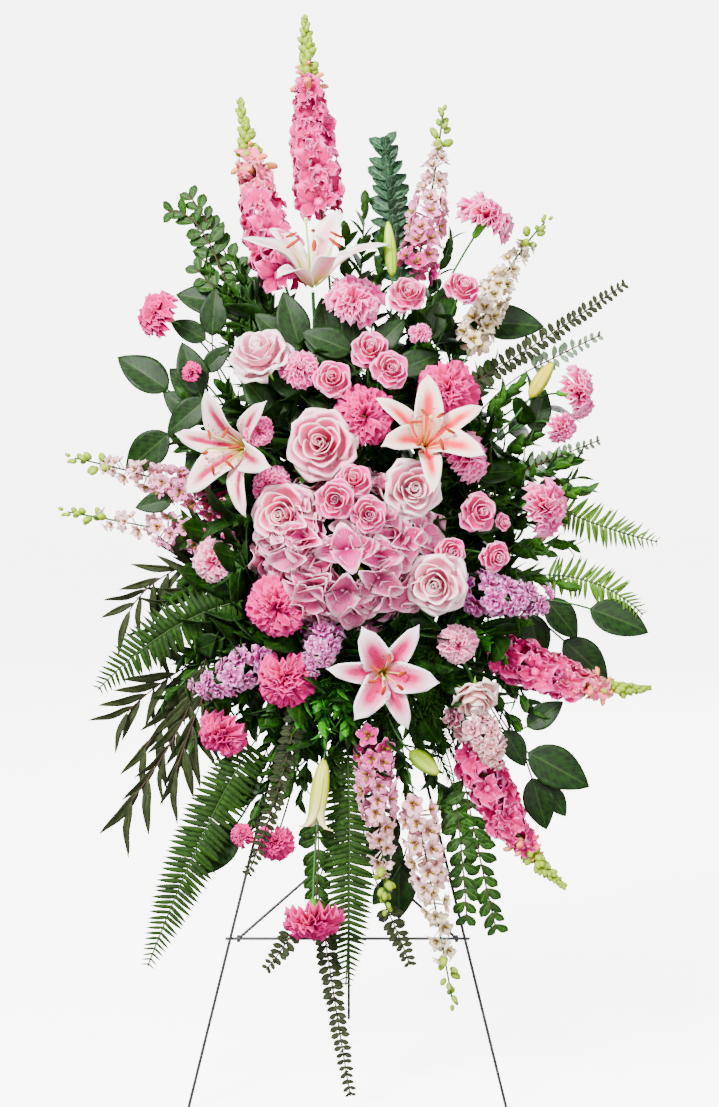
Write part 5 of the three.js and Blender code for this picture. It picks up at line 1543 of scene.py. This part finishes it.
def broad_leaf(base, along, face, length):
    """One leaf from a base, which points along a direction with its upper side towards face."""
    side = along.cross(face).normalized()
    out = side.cross(along).normalized()
    spin = Matrix((side, -out, along)).transposed().to_4x4()
    mesh = set_at(BROAD_LEAF.data.copy(), Matrix.Translation(base) @ spin @ Matrix.Scale(length, 4))
    mesh.materials.append(BROAD_GREEN)
    return mesh


def broad_twig(points, lift):
    """A stem with two broad leaves, whose upper sides are lifted a little to the light."""
    curve, whole = twig_line(points)
    meshes = [rod(whole, THIN_STEM_R)]
    for share, swing, scale in BROAD_ON_TWIG:
        k = round(share * (len(curve) - 1))
        along = (curve[k] - curve[k - 1]).normalized()
        side = along.cross(Vector(VIEWER_SIDE)).normalized()
        way = (along + side * swing).normalized()
        meshes.append(broad_leaf(curve[k] - along * 0.002, way, Vector((0, -1, lift)), BROAD_LENGTH * scale))
    return meshes


bunches(BROAD, "_leaves", lambda name, k, points: broad_twig(placed(points), 0.25 if k else 0.4))

# %% [markdown]
# Behind the blooms a florist first builds a full bed of greens, which hides the foam and the stems. Twigs
# of small glossy leaves run out of the foam to every side, and end just behind the flowers that they frame.

# %% Tips of the bed's twigs
BED_TIPS = {
    "upper": [
        [-191, 130, 1120], [-146, 110, 1072], [-162, 100, 1023], [-106, 110, 1069], [-63, 90, 1032],
        [-3, 110, 1075], [63, 90, 1045], [121, 110, 1072], [140, 140, 1153], [170, 110, 1036],
        [50, 130, 1160], [23, 140, 1197], [-3, 130, 1160], [-149, 120, 1120], [-167, 110, 1082],
        [-127, 90, 1029],
    ],
    "right": [
        [193, 110, 981], [225, 100, 955], [200, 80, 910], [162, 70, 939], [246, 90, 886], [279, 100, 863],
        [307, 105, 832], [263, 90, 803], [208, 60, 805], [263, 80, 734], [182, 50, 726], [290, 80, 690],
        [229, 60, 646], [284, 90, 777], [304, 90, 743], [303, 75, 857], [316, 72, 818],
    ],
    "low": [
        [162, 40, 645], [209, 50, 591], [149, 40, 555], [222, 50, 510], [183, 50, 457], [125, 40, 485],
        [76, 30, 513], [6, 10, 490], [-62, 15, 498], [-105, 25, 514], [-20, 30, 433], [-76, 40, 432],
        [-145, 50, 497], [-63, 40, 408], [-103, 50, 392], [-130, 50, 365], [-10, 30, 369], [43, 30, 409],
        [83, 35, 408], [50, 35, 328], [123, 40, 421], [143, 40, 367], [230, 60, 552], [256, 60, 518],
        [203, 50, 433],
    ],
    "left": [
        [-180, 60, 536], [-159, 60, 605], [-199, 70, 618], [-178, 70, 669], [-210, 80, 697], [-180, 70, 745],
        [-220, 80, 775], [-163, 60, 794], [-142, 60, 832], [-226, 90, 883], [-180, 80, 897], [-212, 90, 939],
        [-164, 80, 950], [-142, 80, 990], [-237, 85, 670], [-264, 85, 616], [-218, 85, 589], [-244, 80, 536],
        [-204, 75, 482], [-164, 70, 443], [-130, 60, 417], [-177, 70, 564], [-143, 60, 538],
    ],
    "inner": [
        [-108, 50, 963], [-38, 30, 979], [72, 40, 964], [111, 60, 990], [-130, 20, 729], [-135, 20, 779],
        [129, 20, 749], [121, 20, 834], [-61, 0, 861], [11, 0, 886],
    ],
}
SALAL_TIPS = {
    "high": [
        [-150, 90, 905], [-110, 85, 960], [-60, 80, 985], [-10, 85, 1000], [45, 80, 1000], [100, 80, 975],
        [150, 85, 930], [-75, 50, 900], [60, 50, 920], [-20, 40, 930],
    ],
    "wide": [
        [-190, 75, 840], [-195, 70, 760], [-185, 70, 700], [-170, 60, 640], [175, 75, 880], [205, 75, 830],
        [200, 70, 760], [195, 70, 700], [185, 60, 640], [-140, 30, 700], [140, 30, 700],
    ],
    "deep": [
        [-140, 50, 560], [-95, 40, 520], [-50, 35, 500], [0, 30, 490], [50, 30, 500], [100, 35, 515],
        [145, 45, 560], [-60, 10, 590], [0, 10, 570], [90, 10, 590],
    ],
    "inner": [
        [-75, 20, 899], [-127, 25, 833], [-75, 10, 625], [43, 10, 625], [89, 10, 640], [-62, 10, 546],
        [-3, 20, 557], [135, 35, 555], [-62, 40, 964], [96, 70, 1029], [-101, 30, 925], [122, 40, 898],
        [161, 40, 780], [175, 50, 845],
    ],
    "edge": [
        [-166, 40, 621], [-161, 40, 552], [-146, 30, 728], [-151, 30, 781], [172, 40, 727], [175, 44, 674],
        [195, 46, 620], [-123, 100, 1069], [263, 90, 930], [-23, 60, 983], [123, 90, 1042],
    ],
}
FRESH_TIPS = [
    [-62, 0, 518], [-12, -10, 542], [-3, 5, 513], [-38, 5, 546], [208, 45, 594], [-33, 0, 501],
    [188, 40, 611],
]
FEATHER_TIPS = [
    [103, 38, 461], [125, 40, 495], [147, 42, 454], [70, 34, 455],
    [109, 20, 557], [135, 25, 504], [82, 15, 545], [102, 25, 477], [142, 30, 423], [69, 10, 625],
    [122, 20, 597], [32, 22, 544], [76, 26, 557], [6, 12, 624], [59, 16, 611], [109, 36, 535],
    [89, 34, 489], [54, 24, 497],
]
print("ruscus twigs", sum(len(tips) for tips in BED_TIPS.values()))

# %% [markdown]
# Some of the bed's leaves are large enough to be seen one by one, round the roses at the top and at the lower
# right. Each is given by its base and its tip, and stands on a stalk of its own.

# %% Places of the single leaves
SINGLE_LEAVES = {
    "right": [
        [[240, 55, 469], [324, 49, 425]],
        [[246, 60, 434], [267, 54, 364]],
        [[264, 66, 422], [293, 60, 382]],
        [[239, 60, 502], [285, 54, 537]],
        [[208, 50, 500], [237, 44, 452]],
        [[247, 85, 894], [262, 79, 950]],
    ],
    "left": [
        [[-188, 95, 1016], [-233, 89, 1042]],
        [[-181, 110, 1021], [-176, 104, 1085]],
        [[-195, 80, 943], [-218, 74, 1012]],
        [[-189, 85, 974], [-158, 79, 1009]],
        [[-187, 75, 937], [-240, 69, 895]],
        [[-233, 80, 804], [-282, 74, 796]],
        [[-146, 55, 418], [-194, 49, 386]],
    ],
    "middle": [
        [[-62, 60, 1005], [-83, 56, 1079]],
        [[-23, 56, 1008], [-33, 52, 1071]],
        [[11, 56, 1003], [4, 52, 1060]],
        [[-76, 66, 1009], [-120, 62, 1052]],
        [[53, 56, 1005], [64, 52, 1052]],
        [[109, 60, 1016], [122, 56, 1068]],
        [[-3, 35, 990], [-54, 29, 1016]],
        [[-9, 20, 922], [-51, 14, 941]],
        [[108, 30, 912], [69, 24, 931]],
        [[59, 25, 303], [33, 19, 271]],
        [[50, 30, 366], [59, 24, 297]],
        [[6, 30, 1000], [-58, 26, 1029]],
        [[32, 32, 1000], [74, 28, 1044]],
        [[62, 30, 974], [121, 30, 1000]],
        [[-61, 20, 944], [-103, 16, 974]],
        [[-112, 40, 987], [-62, 34, 1009]],
    ],
}
print("single leaves", sum(len(leaves) for leaves in SINGLE_LEAVES.values()))

# %% [markdown]
# A bed twig runs straight out of the foam to its tip, with leaves on its outer part. Small ones turn round
# the stem, broad ones are fewer, and the fine needles of feather fern make a soft brush between them.

# %% Bed of greens
RUSCUS_GREEN = leaf_finish("ruscus", "16260f", "304a20", "506a36", 0.5)
SIDE_GREEN = leaf_finish("side ruscus", "243c18", "44642e", "64804a", 0.5)
FRESH_GREEN = leaf_finish("fresh leaf", "2c5c24", "528a40", "80a860", 0.5)
RUSCUS_LEAF = template("ruscus leaf", sheet(leaf(0.5, 0.45, 0.16, 0.25, full=0.62), 2, 4))
SALAL_LEAF = template("salal leaf", sheet(leaf(0.6, 0.42, 0.2, 0.25, 0.015), 4, 6))
BED_SIDES = 4
BED_R = 1.3 * MM
LONE_STALK_R = 1.2 * MM
FEATHER_RINGS = 48


def single_leaf(base, tip):
    """A large leaf on a stalk of its own, from its base to its tip."""
    base, tip = place(*base), place(*tip)
    along = (tip - base).normalized()
    stalk = rod(stem_points(base + along * 0.003, along), LONE_STALK_R, RACHIS)
    return [stalk, broad_leaf(base, along, Vector((0, -1, 0.3)), (tip - base).length)]


def outward_line(tip):
    """A stem that leaves the foam on its way to a tip and arrives in the same direction."""
    end = place(*tip)
    return stem_points(end, (end - FOAM_CENTRE).normalized())


def ruscus(tip, seed, finish=RUSCUS_GREEN):
    points = outward_line(tip)
    return [
        rod(points, BED_R, sides=BED_SIDES),
        on_stem(path_object(points), RUSCUS_LEAF, finish, 13, (0.3, 0.99), (1.15, 0.35),
                (0.04, 0.042, 0.024), 0.6, first_turn=0.4 * seed, turn=2.1, stagger=0.5, seed=seed),
    ]


def salal(tip, seed):
    points = outward_line(tip)
    return [
        rod(points, BED_R, sides=BED_SIDES),
        on_stem(path_object(points), SALAL_LEAF, BROAD_GREEN, 5, (0.25, 0.97), (1.2, 0.6),
                (0.068, 0.075, 0.06), 0.7, first_turn=0.7 * seed, turn=2.3, stagger=0.5, seed=seed),
    ]


def feather(tip, seed):
    points = outward_line(tip)
    needle, finish, _, opens, sizes, wobble, more = SPRIG_KIND[0]
    return [
        rod(points, TWIG_R, RACHIS),
        on_stem(path_object(points), needle, finish, FEATHER_RINGS, (0.3, 1.0), opens, sizes, wobble,
                seed=seed, **more),
    ]


def bed(name, twigs):
    """A piece that only this script adds, from the meshes of its twigs."""
    piece(name, [mesh for twig in twigs for mesh in twig])


for name, tips in BED_TIPS.items():
    finish = SIDE_GREEN if name == "right" else RUSCUS_GREEN
    bed("ruscus_" + name, [ruscus(tip, 20 + k, finish) for k, tip in enumerate(tips)])
for name, tips in SALAL_TIPS.items():
    bed("salal_bed_" + name, [salal(tip, 40 + k) for k, tip in enumerate(tips)])
for name, leaves in SINGLE_LEAVES.items():
    bed("broad_bed_" + name, [single_leaf(*ends) for ends in leaves])
bed("fresh_ruscus", [ruscus(tip, 60 + k, FRESH_GREEN) for k, tip in enumerate(FRESH_TIPS)])
bed("feather_fern", [feather(tip, k) for k, tip in enumerate(FEATHER_TIPS)])
print("triangles so far", sum(made.values()))

# %% [markdown]
# The easel is painted steel wire, the foam is wet, dark green and full of fine pores, and the holder is green
# plastic. Their own nodes have the right shape, so they keep it and only get a finish. The dark paint has a
# soft shine and is duller and a little rusty where the wire was handled.

# %% Wire, foam and holder
def wire_finish():
    nodes = new_finish("painted wire", 0.38, metallic=0.35)
    where = nodes.add("ShaderNodeTexCoord", output=3)
    wear = nodes.noise(where, 60.0, 4.0)
    colour = nodes.mix(nodes.smooth(wear, 0.55, 0.75), ink("202124"), ink("4a4643"))
    nodes.feed(nodes.shader.inputs["Roughness"], 0.3 + wear * 0.3)
    return painted(nodes, colour, nodes.noise(where, 900.0), 0.2, 0.0003)


def foam_finish():
    nodes = new_finish("wet floral foam", 0.8)
    where = nodes.add("ShaderNodeTexCoord", output=3)
    pores = nodes.add("ShaderNodeTexVoronoi", {}, {"Vector": where, "Scale": 700.0})
    damp = nodes.noise(where, 25.0)
    colour = nodes.mix(nodes.smooth(damp, 0.35, 0.7), ink("1c3826"), ink("2c4c34"))
    # The pores are painted darker: painted shade inside the small hollows.
    colour = nodes.mix(1 - nodes.smooth(pores, 0.05, 0.35), colour, ink("10241a"))
    return painted(nodes, colour, pores, 0.6, 0.0008)


def plastic_finish():
    nodes = new_finish("green plastic", 0.4)
    where = nodes.add("ShaderNodeTexCoord", output=3)
    grain = nodes.noise(where, 300.0)
    return painted(nodes, nodes.mix(grain, ink("1a3024"), ink("243e2c")), grain, 0.25, 0.0003)


CAD_FINISHES = {"wire": wire_finish(), "foam": foam_finish(), "plastic": plastic_finish()}
for name, thing in frame["nodes"].items():
    finish = CAD_FINISHES.get(SLOTS.get(name))
    if finish:
        for material_slot in thing.material_slots:
            material_slot.material = finish
print("finished", [name for name in frame["nodes"] if SLOTS.get(name) in CAD_FINISHES])

# %% [markdown]
# A plain pale floor that curves up into a round wall, as in a studio whose white cove goes all the way round.
# It is wider than any view needs, so the spray can be looked at from every side. In the photograph the
# white behind the flowers is much brighter than the light on them, so the cove glows by itself, and its glow
# is kept off the flowers.

# %% Floor
STAGE_RADIUS = 11.0
STAGE_BEND = 2.0
STAGE_TOP = 9.0
STAGE_SIDES = 96


def backdrop_finish():
    nodes = new_finish("pale backdrop", 0.9, emission_strength=6.0)
    where = nodes.add("ShaderNodeTexCoord", output=3)
    faint = nodes.noise(where, 3.0)
    colour = nodes.mix(faint, ink("f4f3f1"), ink("fbfbfa"))
    nodes.feed(nodes.shader.inputs["Base Color"], colour)
    nodes.feed(nodes.shader.inputs["Emission Color"], colour)
    return nodes.material


def cove():
    """A round floor whose edge curves up into a wall."""
    flat = STAGE_RADIUS - STAGE_BEND
    line = [(2.0, 0.0), (flat, 0.0)]
    bends = np.linspace(0.1, FLAT, 12)
    line += [(flat + STAGE_BEND * math.sin(a), STAGE_BEND - STAGE_BEND * math.cos(a)) for a in bends]
    line.append((STAGE_RADIUS, STAGE_TOP))
    corners = [(0, 0, 0)]
    for radius, height in line:
        for k in range(STAGE_SIDES):
            angle = 2 * math.pi * k / STAGE_SIDES
            corners.append((radius * math.cos(angle), radius * math.sin(angle), height))
    faces = [[0, 1 + k, 1 + (k + 1) % STAGE_SIDES] for k in range(STAGE_SIDES)]
    for r in range(len(line) - 1):
        for k in range(STAGE_SIDES):
            a, b = 1 + r * STAGE_SIDES + k, 1 + r * STAGE_SIDES + (k + 1) % STAGE_SIDES
            faces.append([a, a + STAGE_SIDES, b + STAGE_SIDES, b])
    mesh = bpy.data.meshes.new("backdrop")
    mesh.from_pydata(corners, [], faces)
    mesh.shade_smooth()
    thing = bpy.data.objects.new("backdrop", mesh)
    bpy.context.collection.objects.link(thing)
    thing.data.materials.append(backdrop_finish())
    thing.visible_diffuse = False
    thing.visible_glossy = False


cove()
print("the floor is", 2 * STAGE_RADIUS, "m across")

# %% [markdown]
# The flowers are lit by a pale sky and three large lamps alone: a key at the upper left, a weaker fill from
# the front right, and one behind that shows the back when the spray is turned.

# %% Light
LAMPS_LOOK_AT = Vector((0, 0, 0.75))
SKY_STRENGTH = 0.75


def lamp(name, at, size, power):
    light = bpy.data.lights.new(name, "AREA")
    light.size = size
    light.energy = power
    thing = bpy.data.objects.new(name, light)
    bpy.context.collection.objects.link(thing)
    thing.location = at
    thing.rotation_euler = (LAMPS_LOOK_AT - Vector(at)).to_track_quat("-Z", "Y").to_euler()


lamp("key", (-1.6, -2.7, 3.0), 0.9, 560)
lamp("fill", (1.3, -3.4, 1.3), 2.0, 140)
lamp("back", (1.4, 3.0, 2.4), 2.2, 170)
world = bpy.data.worlds.new("studio")
world.use_nodes = True
world.node_tree.nodes["Background"].inputs["Color"].default_value = (1, 1, 1, 1)
world.node_tree.nodes["Background"].inputs["Strength"].default_value = SKY_STRENGTH
bpy.context.scene.world = world

# %% [markdown]
# The templates that the trees copied have done their work and are removed. The size of the dressed model is
# printed: its triangles, its pieces and its largest piece. The sizes of the packed model and of the dressed
# one are written side by side, because the second has to stay close to the first.

# %% Sizes, and the end
for thing in templates:
    bpy.data.objects.remove(thing)
print("triangles", sum(made.values()), "pieces", len(made), "largest", max(made.values()))
